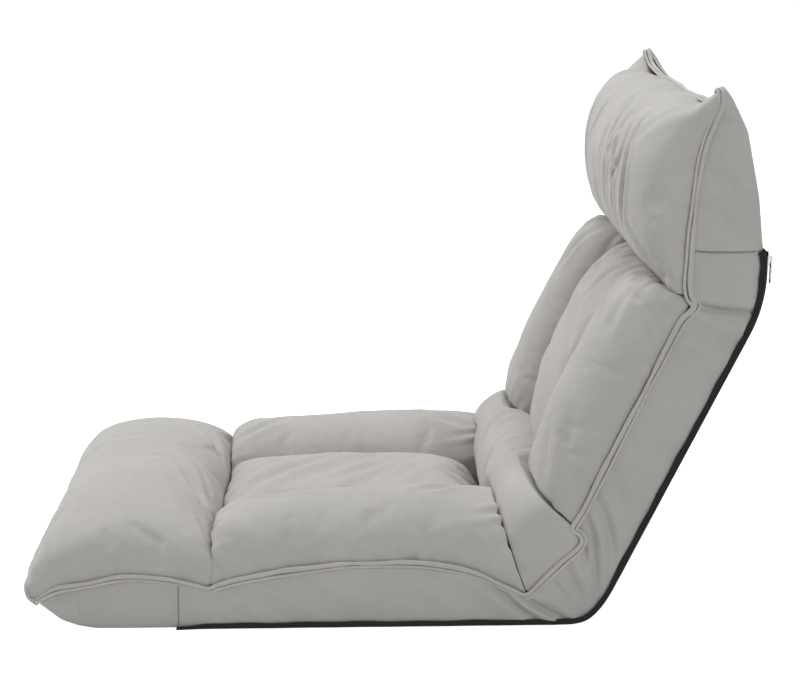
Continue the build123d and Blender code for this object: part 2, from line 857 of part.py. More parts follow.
half_turn = math.radians(back_angle / 2)
corner_along = hip_along + hip_height * math.tan(half_turn)
bend_reach = hip_bend_radius * math.tan(half_turn)
join_reach = back_cloth_start + hip_height * math.tan(half_turn)
rise = polar(1, back_angle)
with BuildPart() as hip_bend_cloth:
    with BuildLine(side_plane(seat_frame, 0)):
        Line((hip_cloth_start, 0), (corner_along - bend_reach, 0))
        JernArc((corner_along - bend_reach, 0), (1, 0), hip_bend_radius, back_angle)
        Line(
            (corner_along + bend_reach * rise.X, bend_reach * rise.Y),
            (corner_along + join_reach * rise.X, join_reach * rise.Y),
        )
    sweep(cloth_profile(cross_plane(seat_frame, hip_cloth_start)))
hip_bend_cloth.part.label = "hip_bend_cloth"
export_step(hip_bend_cloth.part, "parts/hip_bend_cloth.step")

rear_frame = leaning_frame(spot(back_frame, 0, 0, -hip_height), back_angle)
with BuildPart() as back_cloth:
    back_section = cloth_profile(cross_plane(rear_frame, back_cloth_start + cover_gap))
    extrude(back_section, amount=back_cloth_end - back_cloth_start - cover_gap, dir=back_frame.y_dir)
back_cloth.part.label = "back_cloth"
export_step(back_cloth.part, "parts/back_cloth.step")

# The cloth runs on round the neck bend and ends upright under the hood.
neck_cloth_start = back_cloth_end + cover_gap
low_spot = seat_frame.to_local_coords(spot(back_frame, 0, neck_cloth_start, -hip_height))
upright = math.radians(90)
leaning = math.radians(back_angle)
rear_along = low_spot.Y + neck_bend_radius * (math.sin(upright) - math.sin(leaning))
bend_top = low_spot.Z + neck_bend_radius * (math.cos(leaning) - math.cos(upright))
with BuildPart() as neck_bend_cloth:
    with BuildLine(side_plane(seat_frame, 0)):
        JernArc((low_spot.Y, low_spot.Z), (rise.X, rise.Y), neck_bend_radius, 90 - back_angle)
        Line((rear_along, bend_top), (rear_along, neck_cloth_top))
    sweep(cloth_profile(cross_plane(rear_frame, neck_cloth_start)))
neck_bend_cloth.part.label = "neck_bend_cloth"
export_step(neck_bend_cloth.part, "parts/neck_bend_cloth.step")

# ---------------------------------------------------------------- zip fastener

zip_outer = zip_tape_thick + chain_thick
with BuildPart() as back_zip:
    with BuildSketch(cross_plane(rear_frame, back_cloth_end)):
        with Locations((zip_x, -zip_tape_thick / 2)):
            Rectangle(zip_tape_width, zip_tape_thick)
        with Locations((zip_x, -zip_tape_thick - chain_thick / 2)):
            Rectangle(chain_width, chain_thick)
    extrude(amount=back_cloth_end - back_cloth_start - cover_gap)
back_zip.part.label = "back_zip"
export_step(back_zip.part, "parts/back_zip.step")

with BuildPart() as neck_zip:
    with BuildLine(side_plane(seat_frame, 0)):
        JernArc((low_spot.Y, low_spot.Z), (rise.X, rise.Y), neck_bend_radius, 90 - back_angle)
        Line((rear_along, bend_top), (rear_along, neck_cloth_top))
    with BuildSketch(cross_plane(rear_frame, neck_cloth_start)):
        with Locations((zip_x, -zip_tape_thick / 2)):
            Rectangle(zip_tape_width, zip_tape_thick)
        with Locations((zip_x, -zip_tape_thick - chain_thick / 2)):
            Rectangle(chain_width, chain_thick)
    sweep()
neck_zip.part.label = "neck_zip"
export_step(neck_zip.part, "parts/neck_zip.step")

# The slider wraps the chain from outside; its bar carries the hanging pull.
rear_y = front_tip_y + rear_along
slider_inner = rear_y + zip_tape_thick + zip_gap
channel_top = rear_y + zip_outer + zip_gap
slider_outer = channel_top + slider_wall
bar_y = slider_outer + bar_reach
bar_z = slider_height + 3
slider_width = chain_width + 2 * zip_gap + 2 * slider_wall
with BuildPart() as zip_slider:
    with BuildSketch(Plane.XY.offset(slider_height - slider_length / 2)):
        with Locations((zip_x, (slider_inner + slider_outer) / 2)):
            Rectangle(slider_width, slider_outer - slider_inner)
        with Locations((zip_x, (slider_inner + channel_top) / 2)):
            Rectangle(chain_width + 2 * zip_gap, channel_top - slider_inner, mode=Mode.SUBTRACT)
    extrude(amount=slider_length)
    for side in (-1, 1):
        with BuildSketch(Plane.YZ.offset(zip_x + side * lug_inner)):
            with Locations(((slider_outer + bar_y + 1) / 2, bar_z)):
                Rectangle(bar_y + 1 - slider_outer + 1.2, 5)
        extrude(amount=side * lug_thick)
    with BuildSketch(Plane.YZ.offset(zip_x)):
        with Locations((bar_y, bar_z)):
            Circle(zip_bar_radius)
    extrude(amount=lug_inner, both=True)
zip_slider.part.label = "zip_slider"
export_step(zip_slider.part, "parts/zip_slider.step")

eye_half = lug_inner - zip_gap
with BuildPart() as zip_pull:
    with BuildSketch(Plane.YZ.offset(zip_x)):
        with Locations((bar_y, bar_z)):
            Circle(eye_radius)
        with Locations((bar_y, bar_z - pull_neck / 2)):
            Rectangle(pull_thick, pull_neck)
        with Locations((bar_y, bar_z)):
            Circle(zip_bar_radius + run_gap, mode=Mode.SUBTRACT)
    extrude(amount=eye_half, both=True)
    with BuildSketch(Plane.XZ.offset(-bar_y)):
        with Locations((zip_x, bar_z - (pull_neck + pull_length) / 2)):
            RectangleRounded(pull_width, pull_length - pull_neck, 1.5)
            SlotOverall(pull_length * 0.45, pull_width * 0.4, rotation=90, mode=Mode.SUBTRACT)
    extrude(amount=pull_thick / 2, both=True)
zip_pull.part.label = "zip_pull"
export_step(zip_pull.part, "parts/zip_pull.step")

# ---------------------------------------------------------------- piping

seam_x = half_width - skin / 2


def seam_points(frame, side, points):
    return [spot(frame, side * seam_x, along, up) for along, up in points]


seat_seam = (
    (682, 52.5),
    (659, 66.6),
    (573, 95.6),
    (484, 100.5),
    (381, 91.5),
    (257, 66.5),
    (148, 83.5),
    (45, 65.6),
    (3, 65.6),
)
with BuildPart() as seat_piping:
    seam_run = seam_points(seat_frame, 1, seat_seam)
    seam_run += reversed(seam_points(seat_frame, -1, seat_seam))
    with BuildLine() as seam_line:
        Polyline(*seam_run)
    with BuildSketch(Plane(origin=seam_line.line @ 0, z_dir=seam_line.line % 0)):
        Circle(piping_radius)
    sweep(transition=Transition.RIGHT)
seat_piping.part.label = "seat_piping"
export_step(seat_piping.part, "parts/seat_piping.step")

back_seam = ((76.5, 42.5), (97, 63), (130, 64.4), (271, 66.4), (417, 67.6), (445, 60.8))
with BuildPart() as back_piping:
    for side in (-1, 1):
        with BuildLine() as seam_line:
            Polyline(*seam_points(back_frame, side, back_seam))
        with BuildSketch(Plane(origin=seam_line.line @ 0, z_dir=seam_line.line % 0)):
            Circle(piping_radius)
        sweep(transition=Transition.RIGHT)
back_piping.part.label = "back_piping"
export_step(back_piping.part, "parts/back_piping.step")

head_seam = (
    (39, 70.4),
    (56.5, 69.4),
    (110, 62.4),
    (162, 52.3),
    (212.3, 37.2),
    (243.8, 22),
    (266, 10.5),
    (272.5, 3.5),
)
with BuildPart() as head_piping:
    seam_run = seam_points(head_frame, 1, head_seam)
    seam_run += reversed(seam_points(head_frame, -1, head_seam))
    with BuildLine() as seam_line:
        Polyline(*seam_run)
    with BuildSketch(Plane(origin=seam_line.line @ 0, z_dir=seam_line.line % 0)):
        Circle(piping_radius)
    sweep(transition=Transition.RIGHT)
head_piping.part.label = "head_piping"
export_step(head_piping.part, "parts/head_piping.step")

hip_seam = ((693, 51.6), (716, 73.4), (750.5, 106.6))
with BuildPart() as hip_piping:
    for side in (-1, 1):
        with BuildLine() as seam_line:
            Polyline(*seam_points(seat_frame, side, hip_seam))
        with BuildSketch(Plane(origin=seam_line.line @ 0, z_dir=seam_line.line % 0)):
            Circle(piping_radius)
        sweep(transition=Transition.RIGHT)
hip_piping.part.label = "hip_piping"
export_step(hip_piping.part, "parts/hip_piping.step")

with BuildPart() as neck_piping:
    for side in (-1, 1):
        low_end = spot(back_frame, side * seam_x, 454, 64)
        kink = spot(head_frame, side * seam_x, 20, 73.5)
        high_end = spot(head_frame, side * seam_x, 32, 72)
        with BuildLine() as seam_line:
            Polyline(low_end, kink, high_end)
        with BuildSketch(Plane(origin=seam_line.line @ 0, z_dir=seam_line.line % 0)):
            Circle(piping_radius)
        sweep(transition=Transition.RIGHT)
neck_piping.part.label = "neck_piping"
export_step(neck_piping.part, "parts/neck_piping.step")
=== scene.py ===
import math
import bpy
import numpy as np
from mathutils import Matrix, Vector


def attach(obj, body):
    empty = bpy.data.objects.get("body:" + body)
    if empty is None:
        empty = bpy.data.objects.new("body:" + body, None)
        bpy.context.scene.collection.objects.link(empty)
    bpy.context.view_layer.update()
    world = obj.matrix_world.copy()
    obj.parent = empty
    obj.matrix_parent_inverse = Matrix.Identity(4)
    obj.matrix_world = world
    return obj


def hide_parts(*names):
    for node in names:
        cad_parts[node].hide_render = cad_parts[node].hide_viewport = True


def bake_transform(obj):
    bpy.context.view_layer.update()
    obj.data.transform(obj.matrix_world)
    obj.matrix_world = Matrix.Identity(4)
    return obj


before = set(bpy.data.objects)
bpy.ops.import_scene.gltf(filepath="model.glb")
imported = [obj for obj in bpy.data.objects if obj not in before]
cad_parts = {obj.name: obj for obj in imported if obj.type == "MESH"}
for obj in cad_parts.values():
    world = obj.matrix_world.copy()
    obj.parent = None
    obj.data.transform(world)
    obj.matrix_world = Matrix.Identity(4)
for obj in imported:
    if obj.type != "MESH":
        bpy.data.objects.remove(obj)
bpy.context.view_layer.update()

scene = bpy.context.scene
MM = 0.001


# ---- places

def seat_at(across, along, up):
    """Row-frame points from millimetres across, along the seat from its front tip, and up."""
    return np.stack(np.broadcast_arrays(across, np.subtract(along, 400.0), up), -1) * MM


def leaning(along, up, degrees):
    """Places measured in a frame that leans back: across, along its length, and to its front."""
    cos, sin = math.cos(math.radians(degrees)), math.sin(math.radians(degrees))

    def at(across, length, front):
        length, front = np.asarray(length, float), np.asarray(front, float)
        return seat_at(across, along + length * cos - front * sin, up + length * sin + front * cos)

    return at


back_at = leaning(771, 28, 65)
head_at = leaning(972.9, 460.9, 97.5)
pillow_at = leaning(901, 471, 83)


def smooth_line(points, count, closed=False):
    """Evenly spaced points on a Catmull-Rom curve through the given ones."""
    points = np.asarray(points, float)
    if closed:
        padded = np.vstack((points[-1], points, points[0], points[1]))
    else:
        padded = np.vstack((2 * points[0] - points[1], points, 2 * points[-1] - points[-2]))
    steps = np.linspace(0, 1, 24, endpoint=False)[:, None]
    runs = []
    for first, second, third, fourth in zip(padded, padded[1:], padded[2:], padded[3:]):
        slope, bow = third - first, 2 * first - 5 * second + 4 * third - fourth
        twist = 3 * second - first - 3 * third + fourth
        runs.append(0.5 * (2 * second + slope * steps + bow * steps**2 + twist * steps**3))
    runs.append(padded[-2:-1])
    dense = np.vstack(runs)
    length = np.concatenate(([0], np.cumsum(np.linalg.norm(np.diff(dense, axis=0), axis=1))))
    wanted = np.linspace(0, length[-1], count + 1 if closed else count)
    if closed:
        wanted = wanted[:-1]
    return np.stack([np.interp(wanted, length, dense[:, k]) for k in range(dense.shape[1])], -1)


def soft_step(value):
    value = np.clip(value, 0, 1)
    return value * value * (3 - 2 * value)


# ---- meshes

def added(name, data):
    """A new object in the scene."""
    piece = bpy.data.objects.new(name, data)
    scene.collection.objects.link(piece)
    return piece


def mesh_piece(name, points, faces, material):
    mesh = bpy.data.meshes.new(name)
    mesh.from_pydata([tuple(p) for p in points], [], faces)
    mesh.validate()
    for polygon in mesh.polygons:
        polygon.use_smooth = True
    mesh.materials.append(material)
    return added(name, mesh)


def grid_faces(rows, columns, closed):
    faces = []
    for row in range(rows - 1):
        for column in range(columns if closed else columns - 1):
            here, after = row * columns + column, row * columns + (column + 1) % columns
            faces.append((here, after, after + columns, here + columns))
    return faces


def tube_faces(rows, columns, base=0):
    """Faces through a row of rings, both ends capped; base is the number of their first point."""
    faces = grid_faces(rows, columns, True)
    faces.append(tuple(reversed(range(columns))))
    faces.append(tuple(range((rows - 1) * columns, rows * columns)))
    return [tuple(base + number for number in face) for face in faces]


def ring_piece(name, rings, material):
    """Closed form through a row of rings, its two ends capped."""
    return mesh_piece(name, rings.reshape(-1, 3), tube_faces(*rings.shape[:2]), material)


def baked(piece):
    """Applies the piece's modifiers."""
    graph = bpy.context.evaluated_depsgraph_get()
    mesh = bpy.data.meshes.new_from_object(piece.evaluated_get(graph))
    piece.modifiers.clear()
    piece.data = mesh
    for polygon in mesh.polygons:
        polygon.use_smooth = True


def vectors(source, key):
    values = np.empty(len(source) * 3)
    source.foreach_get(key, values)
    return values.reshape(-1, 3)


def places_of(piece):
    return vectors(piece.data.vertices, "co")


def normals_of(piece):
    return vectors(piece.data.vertex_normals, "vector")


def set_places(piece, points):
    piece.data.vertices.foreach_set("co", points.ravel())
    piece.data.update()


def even_mesh(piece, voxel=0.0055):
    """Even quads over the form, slightly smoothed."""
    remesh = piece.modifiers.new("even", "REMESH")
    remesh.mode = "VOXEL"
    remesh.voxel_size = voxel
    remesh.use_smooth_shade = True
    soften = piece.modifiers.new("soften", "SMOOTH")
    soften.iterations = 4
    soften.factor = 0.5
    baked(piece)


PRESSURE, SLACK, LAST_FRAME = 4.0, 0.012, 20


def puffed(piece, held, cap):
    """Cloth under pressure from inside, held where the pad is sewn down; movement is capped."""
    start = places_of(piece)
    group = piece.vertex_groups.new(name="held")
    group.add([int(i) for i in np.nonzero(held)[0]], 1.0, "REPLACE")
    cloth = piece.modifiers.new("cloth", "CLOTH")
    settings = cloth.settings
    settings.quality = 5
    settings.mass = 0.2
    settings.use_pressure = True
    settings.uniform_pressure_force = PRESSURE
    settings.effector_weights.gravity = 0
    settings.vertex_group_mass = "held"
    settings.shrink_min = -SLACK
    settings.bending_stiffness = 0.5
    settings.tension_stiffness = 15
    settings.compression_stiffness = 15
    cloth.point_cache.frame_start = 1
    cloth.point_cache.frame_end = LAST_FRAME
    for number in range(1, LAST_FRAME + 1):
        scene.frame_set(number)
    baked(piece)
    scene.frame_set(1)
    moved = places_of(piece) - start
    length = np.linalg.norm(moved, axis=1, keepdims=True)
    length[length < 1e-9] = 1e-9
    set_places(piece, start + moved * (cap * np.tanh(length / cap) / length))
    piece.vertex_groups.clear()


def thickened(piece, thickness, offset):
    cloth = piece.modifiers.new("cloth", "SOLIDIFY")
    cloth.thickness = thickness
    cloth.offset = offset
    baked(piece)
    return piece


def keep_behind(piece, place, outward, give=0.0015):
    """Presses what passes a plane flat against it, as a neighbour does."""
    points = places_of(piece)
    outward = np.asarray(outward, float)
    outward = outward / np.linalg.norm(outward)
    past = (points - np.asarray(place)) @ outward + give
    shift = np.where(past > 0, past - give * np.tanh(past / give), 0)
    set_places(piece, points - shift[:, None] * outward)


def distance_to(points, line):
    """Distance of each point to a line of points, and how far along it the nearest place is (0 to 1)."""
    best = np.full(len(points), 1e9)
    share = np.zeros(len(points))
    last = len(line) - 1
    for number, (start, end) in enumerate(zip(line, line[1:])):
        run = end - start
        t = np.clip((points - start) @ run / max(run @ run, 1e-12), 0, 1)
        gap = np.linalg.norm(points - start - t[:, None] * run, axis=1)
        near = gap < best
        best[near] = gap[near]
        share[near] = (number + t[near]) / last
    return best, share


CREASE_WIDTH, CREASE_DEPTH = 0.82, 1.25


def creased(piece, at, lines, side=1):
    """Presses soft creases; each is its places in the frame at, then its depth and width in millimetres,
    which the two shares above scale."""
    for across, length, front, depth, width in lines:
        points = places_of(piece)
        normals = normals_of(piece)
        path = smooth_line(at(side * np.array(across), length, front), 24)
        gap, share = distance_to(points, path)
        width, depth = CREASE_WIDTH * width * MM, CREASE_DEPTH * depth * MM
        fade = np.sin(np.pi * np.clip(share, 0.02, 0.98)) ** 0.7
        press = depth * np.exp(-((gap / width) ** 2))
        swell = 0.4 * depth * np.exp(-(((gap - 2.1 * width) / (1.1 * width)) ** 2))
        set_places(piece, points - normals * ((press - swell) * fade)[:, None])


def gathered(piece, at, line, amount, reach, pitch, seed, side=1):
    """Puckers that run away from a sewn line in the frame at and die out over the reach; in millimetres."""
    amount, reach, pitch = amount * MM, reach * MM, pitch * MM
    points = places_of(piece)
    normals = normals_of(piece)
    across, length, front = line
    path = smooth_line(at(side * np.array(across), length, front), 60)
    length = np.linalg.norm(np.diff(path, axis=0), axis=1).sum()
    gap, share = distance_to(points, path)
    along = share * length
    wave = np.sin(2 * np.pi * along / pitch + seed + 1.3 * np.sin(2 * np.pi * along / (3.7 * pitch)))
    wave += 0.6 * np.sin(2 * np.pi * along / (0.61 * pitch) + 2 * seed)
    local = 0.55 + 0.45 * np.sin(2 * np.pi * along / (5.3 * pitch) + 3 * seed)
    size = amount * local * np.exp(-((gap / reach) ** 1.5))
    set_places(piece, points + normals * (wave * size)[:, None])


def uneven(piece, amount, wave, seed):
    """Slow unevenness of a fibre filling; its height and wave length are in millimetres."""
    points = places_of(piece)
    normals = normals_of(piece)
    total = np.zeros(len(points))
    for number in range(5):
        angle = seed + 2.4 * number
        lift = 0.7 * math.sin(1.7 * angle)
        direction = np.array((math.cos(angle), math.sin(angle), lift))
        scale = wave * MM * (0.6 + 0.25 * number)
        total += np.sin(2 * np.pi * (points @ direction) / scale + 1.9 * number + seed)
    set_places(piece, points + normals * (total * amount * MM / 3)[:, None])


def pulled_to(piece, centre, tip, radius):
    """Draws the fabric near a corner out to its tip."""
    points = places_of(piece)
    centre, tip = np.asarray(centre), np.asarray(tip)
    gap = np.linalg.norm(points - centre, axis=1)
    weight = np.clip(1.15 * (1 - gap / radius), 0, 1) ** 1.3
    set_places(piece, points + weight[:, None] * (tip - centre))


def meet(piece, place, outward, inner):
    """Presses a pad's outer stretches against a plane; between the side rolls it bulges freely."""
    points = places_of(piece)
    outward = np.asarray(outward, float)
    past = (points - np.asarray(place)) @ outward
    side_share = soft_step((np.abs(points[:, 0]) / MM - inner) / 30)
    set_places(piece, points - (np.maximum(past, 0) * side_share)[:, None] * outward)


def front_of(piece, at):
    """How far each point lies to the front in a leaning frame, in metres."""
    start = at(0, 0, 0)
    return (places_of(piece) - start) @ (at(0, 0, 1000) - start)


def finer(piece):
    refine = piece.modifiers.new("finer", "SUBSURF")
    refine.levels = 1
    refine.render_levels = 1


# ---- materials

def node_material(name):
    """A new material, its node tree, its shader and the coordinates its patterns follow."""
    material = bpy.data.materials.new(name)
    material.use_nodes = True
    tree = material.node_tree
    place = tree.nodes.new("ShaderNodeTexCoord").outputs["Object"]
    return material, tree, tree.nodes["Principled BSDF"], place


def fill(tree, socket, value):
    """Joins a socket to another node's output, or sets its number."""
    if isinstance(value, bpy.types.NodeSocket):
        tree.links.new(value, socket)
    else:
        socket.default_value = value


def set_inputs(tree, node, **sockets):
    """Sets a node's inputs to numbers or joins them to other nodes' outputs."""
    for name, value in sockets.items():
        fill(tree, node.inputs[name.replace("_", " ")], value)
    return node


def linked(tree, kind, **sockets):
    """A new node with its inputs filled in."""
    return set_inputs(tree, tree.nodes.new(kind), **sockets)


def math_node(tree, operation, *values):
    node = tree.nodes.new("ShaderNodeMath")
    node.operation = operation
    for socket, value in zip(node.inputs, values):
        fill(tree, socket, value)
    return node.outputs[0]


def noise(tree, place, scale, detail, rough):
    node = linked(tree, "ShaderNodeTexNoise", Vector=place, Scale=scale, Detail=detail, Roughness=rough)
    return node.outputs["Fac"]


def coloured(tree, shader, factor, dark, light, low=0.0, high=1.0):
    """The surface goes from the dark to the light colour as the factor goes from low to high."""
    ramp = linked(tree, "ShaderNodeValToRGB", Fac=factor)
    for stop, position, colour in zip(ramp.color_ramp.elements, (low, high), (dark, light)):
        stop.position = position
        stop.color = (*colour, 1)
    set_inputs(tree, shader, Base_Color=ramp.outputs["Color"])


def embossed(tree, shader, *layers):
    """Relief in layers, one over the other; each is its height, its strength and its distance."""
    under = None
    for height, strength, distance in layers:
        bump = linked(tree, "ShaderNodeBump", Height=height, Strength=strength, Distance=distance)
        if under is not None:
            set_inputs(tree, bump, Normal=under)
        under = bump.outputs["Normal"]
    set_inputs(tree, shader, Normal=under)


def suede_material(name, light, dark):
    """Brushed microfibre: patches where the nap lies differently, fine fibres and a soft sheen."""
    material, tree, shader, place = node_material(name)
    patches = noise(tree, place, 9.0, 3.0, 0.55)
    fibres = noise(tree, place, 420.0, 3.0, 0.7)
    mottle = noise(tree, place, 70.0, 4.0, 0.6)
    grain = math_node(tree, "MULTIPLY", fibres, 0.25)
    spread = math_node(tree, "MULTIPLY_ADD", mottle, 0.3, grain)
    mix = math_node(tree, "MULTIPLY_ADD", patches, 0.55, spread)
    coloured(tree, shader, mix, dark, light, 0.3, 0.75)
    set_inputs(tree, shader, Roughness=0.88, Specular_IOR_Level=0.2)
    set_inputs(tree, shader, Sheen_Weight=0.35, Sheen_Roughness=0.5, Sheen_Tint=(0.93, 0.92, 0.9, 1))
    embossed(tree, shader, (mottle, 0.12, 0.0012), (fibres, 0.25, 0.0004))
    return material


def nonwoven_material(name, tone, dots):
    """Black spunbond cloth: matted fibres and a fine grid of pressed points."""
    material, tree, shader, place = node_material(name)
    fibres = noise(tree, place, 300.0, 5.0, 0.75)
    cells = linked(tree, "ShaderNodeTexVoronoi", Vector=place, Scale=dots, Randomness=0.15)
    dark = (tone * 0.6, tone * 0.6, tone * 0.62)
    coloured(tree, shader, fibres, dark, (tone * 1.8, tone * 1.8, tone * 1.85), 0.3, 0.8)
    set_inputs(tree, shader, Roughness=0.78, Specular_IOR_Level=0.3)
    embossed(tree, shader, (cells.outputs["Distance"], 0.35, 0.0006), (fibres, 0.35, 0.0003))
    return material


def metal_material(name, tone, rough, scratches):
    """Metal whose gloss varies with fine rubbing marks."""
    material, tree, shader, place = node_material(name)
    marks = noise(tree, place, scratches, 4.0, 0.6)
    coloured(tree, shader, marks, [0.8 * part for part in tone], tone)
    gloss = linked(tree, "ShaderNodeMapRange", Value=marks, To_Min=rough * 0.8, To_Max=rough * 1.3)
    set_inputs(tree, shader, Roughness=gloss.outputs["Result"], Metallic=1.0)
    embossed(tree, shader, (marks, 0.1, 0.0002))
    return material


def grain_material(name, light, dark, scale, rough, strength):
    """Foam, webbing or paint: mottled colour with a matching fine relief."""
    material, tree, shader, place = node_material(name)
    grain = noise(tree, place, scale, 4.0, 0.65)
    coloured(tree, shader, grain, dark, light, 0.3, 0.7)
    set_inputs(tree, shader, Roughness=rough)
    embossed(tree, shader, (grain, strength, 0.0006))
    return material


suede = suede_material("grey_suede", (0.52, 0.507, 0.485), (0.43, 0.42, 0.402))
# Lighter copy of the suede for the seam lips: painted highlight, the brightness a raised lip catches from
# the lamps.
seam_suede_painted_highlight = suede_material("grey_suede_seam", (0.56, 0.545, 0.52), (0.44, 0.43, 0.41))
thread = grain_material("grey_thread", (0.6, 0.585, 0.56), (0.42, 0.41, 0.39), 900.0, 0.8, 0.3)
black_cloth = nonwoven_material("black_cloth", 0.009, 480.0)
black_zip = nonwoven_material("black_zip", 0.014, 900.0)
foam = grain_material("foam", (0.78, 0.76, 0.66), (0.62, 0.6, 0.5), 500.0, 0.95, 0.6)
webbing = grain_material("webbing", (0.02, 0.02, 0.021), (0.008, 0.008, 0.009), 700.0, 0.8, 0.6)
black_paint = grain_material("black_steel_tube", (0.02,) * 3, (0.012,) * 3, 160.0, 0.42, 0.15)
zinc = metal_material("zinc_steel", (0.62, 0.63, 0.65), 0.38, 220.0)
nickel = metal_material("zip_metal", (0.62, 0.6, 0.56), 0.28, 350.0)

slot_materials = {
    material.name.split(".")[0]: material
    for material in (suede, seam_suede_painted_highlight, black_cloth, black_zip, foam, webbing, black_paint, zinc, nickel)
}
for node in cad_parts.values():
    for number, current in enumerate(node.data.materials):
        key = current.name.split(".")[0] if current else ""
        if key in slot_materials:
            node.data.materials[number] = slot_materials[key]
inner_finish = (
    (black_paint, ("tube", "cross")),
    (webbing, ("straps",)),
    (zinc, ("housing", "wheel", "pawl", "rivets", "springs")),
    (nickel, ("zip_slider", "zip_pull")),
)
for material, words in inner_finish:
    for node_name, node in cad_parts.items():
        if any(word in node_name for word in words):
            node.data.materials.clear()
            node.data.materials.append(material)


# ---- pads

HALF = 266.0


def roll_across(name, at, centre, side, power=3.4, half=HALF):
    """Roll across the chair: its section changes from the centre outline to the side one."""
    stations, columns = 57, 84
    centre = smooth_line(centre, columns, closed=True)
    side = smooth_line(side, columns, closed=True)
    rings = []
    for across in half * np.sin(np.linspace(-math.pi / 2, math.pi / 2, stations)):
        share = min(abs(across) / half, 1.0)
        fullness = (1 - share**power) ** (1 / power)
        outline = side + (centre - side) * fullness
        rings.append(at(np.full(columns, across), outline[:, 0], outline[:, 1]))
    return ring_piece(name, np.array(rings), suede)


def roll_along(name, at, mid, reach, lengths, bases, sides, crowns, lean=0.0, bulk=2.5):
    """Roll along the chair: a flat underside, sides up to the seam and a crown over them."""
    rings, columns, power = [], 72, 2 / bulk
    cos, sin = np.cos(np.linspace(0, math.pi, 41)), np.sin(np.linspace(0, math.pi, 41))
    across = mid + reach * np.sign(cos) * np.abs(cos) ** power + lean * sin
    for length, base, side, crown in smooth_line(np.column_stack((lengths, bases, sides, crowns)), 60):
        up = side + (crown - side) * np.abs(sin) ** power
        low = [(mid - reach + 1, base), (mid + reach - 1, base)]
        outline = np.vstack((np.column_stack((across, up)), low))
        outline = np.vstack((outline, outline[:1]))
        run = np.concatenate(([0], np.cumsum(np.linalg.norm(np.diff(outline, axis=0), axis=1))))
        wanted = np.linspace(0, run[-1], columns, endpoint=False)
        turn, rise = (np.interp(wanted, run, outline[:, k]) for k in (0, 1))
        rings.append(at(turn, np.full(columns, length), rise))
    return ring_piece(name, np.array(rings), suede)


# The front roll: its crown rises steeply from the front seam and rounds over into the first crease.
front_centre = (
    (5, 65), (4, 80), (13, 105), (33, 131), (65, 148), (110, 156), (155, 157),
    (198, 151), (234, 137), (256, 114), (261, 88), (259, 67), (190, 65), (90, 65),
)
front_side = (
    (5, 53), (3, 60), (7, 68), (24, 69), (60, 71), (105, 76), (150, 81),
    (196, 77), (236, 70), (256, 67), (262, 62), (258, 54), (190, 55), (90, 54),
)
front_roll = roll_across("front_roll_pad", seat_at, front_centre, front_side, power=4.0)
even_mesh(front_roll)
low = places_of(front_roll)[:, 2] < 0.069
puffed(front_roll, low, cap=0.009)
keep_behind(front_roll, seat_at(0, 256.5, 100), (0, 1, 0))
uneven(front_roll, 1.1, 160, 0.4)
creased(front_roll, seat_at, (
    ([30, 12, 40, 110, 150], [118, 160, 196, 228, 246], [156, 158, 154, 142, 122], 7.5, 8.5),
    ([-10, -22, 10, 60, 100], [150, 176, 208, 236, 248], [157, 156, 148, 134, 120], 5.5, 6.5),
    ([-200, -170, -130, -90], [176, 206, 230, 248], [155, 150, 138, 120], 8, 8),
    ([225, 240, 252, 260], [215, 232, 244, 252], [128, 110, 92, 74], 8.5, 5.5),
    ([205, 222, 238, 250], [225, 240, 250, 254], [124, 106, 90, 76], 6.5, 5.5),
    ([170, 196, 220, 240], [236, 246, 252, 256], [120, 106, 94, 80], 6, 6),
    ([252, 225, 180], [20, 22, 18], [84, 100, 104], 4.5, 10),
    ([-120, -90, -100], [60, 90, 140], [142, 152, 157], 3.5, 10),
))
gathered(front_roll, seat_at, ([250, 100, 0, -100, -250], 255, [80, 112, 114, 112, 80]), 2.2, 22, 26, 0.7)
gathered(front_roll, seat_at, ([262, 130, 0, -130, -262], 8, [68, 70, 70, 70, 68]), 1.2, 18, 30, 1.9)
for side in (-1, 1):
    pulled_to(front_roll, seat_at(side * 262, 12, 60), seat_at(side * 266, 15, 50), 0.034)
finer(front_roll)

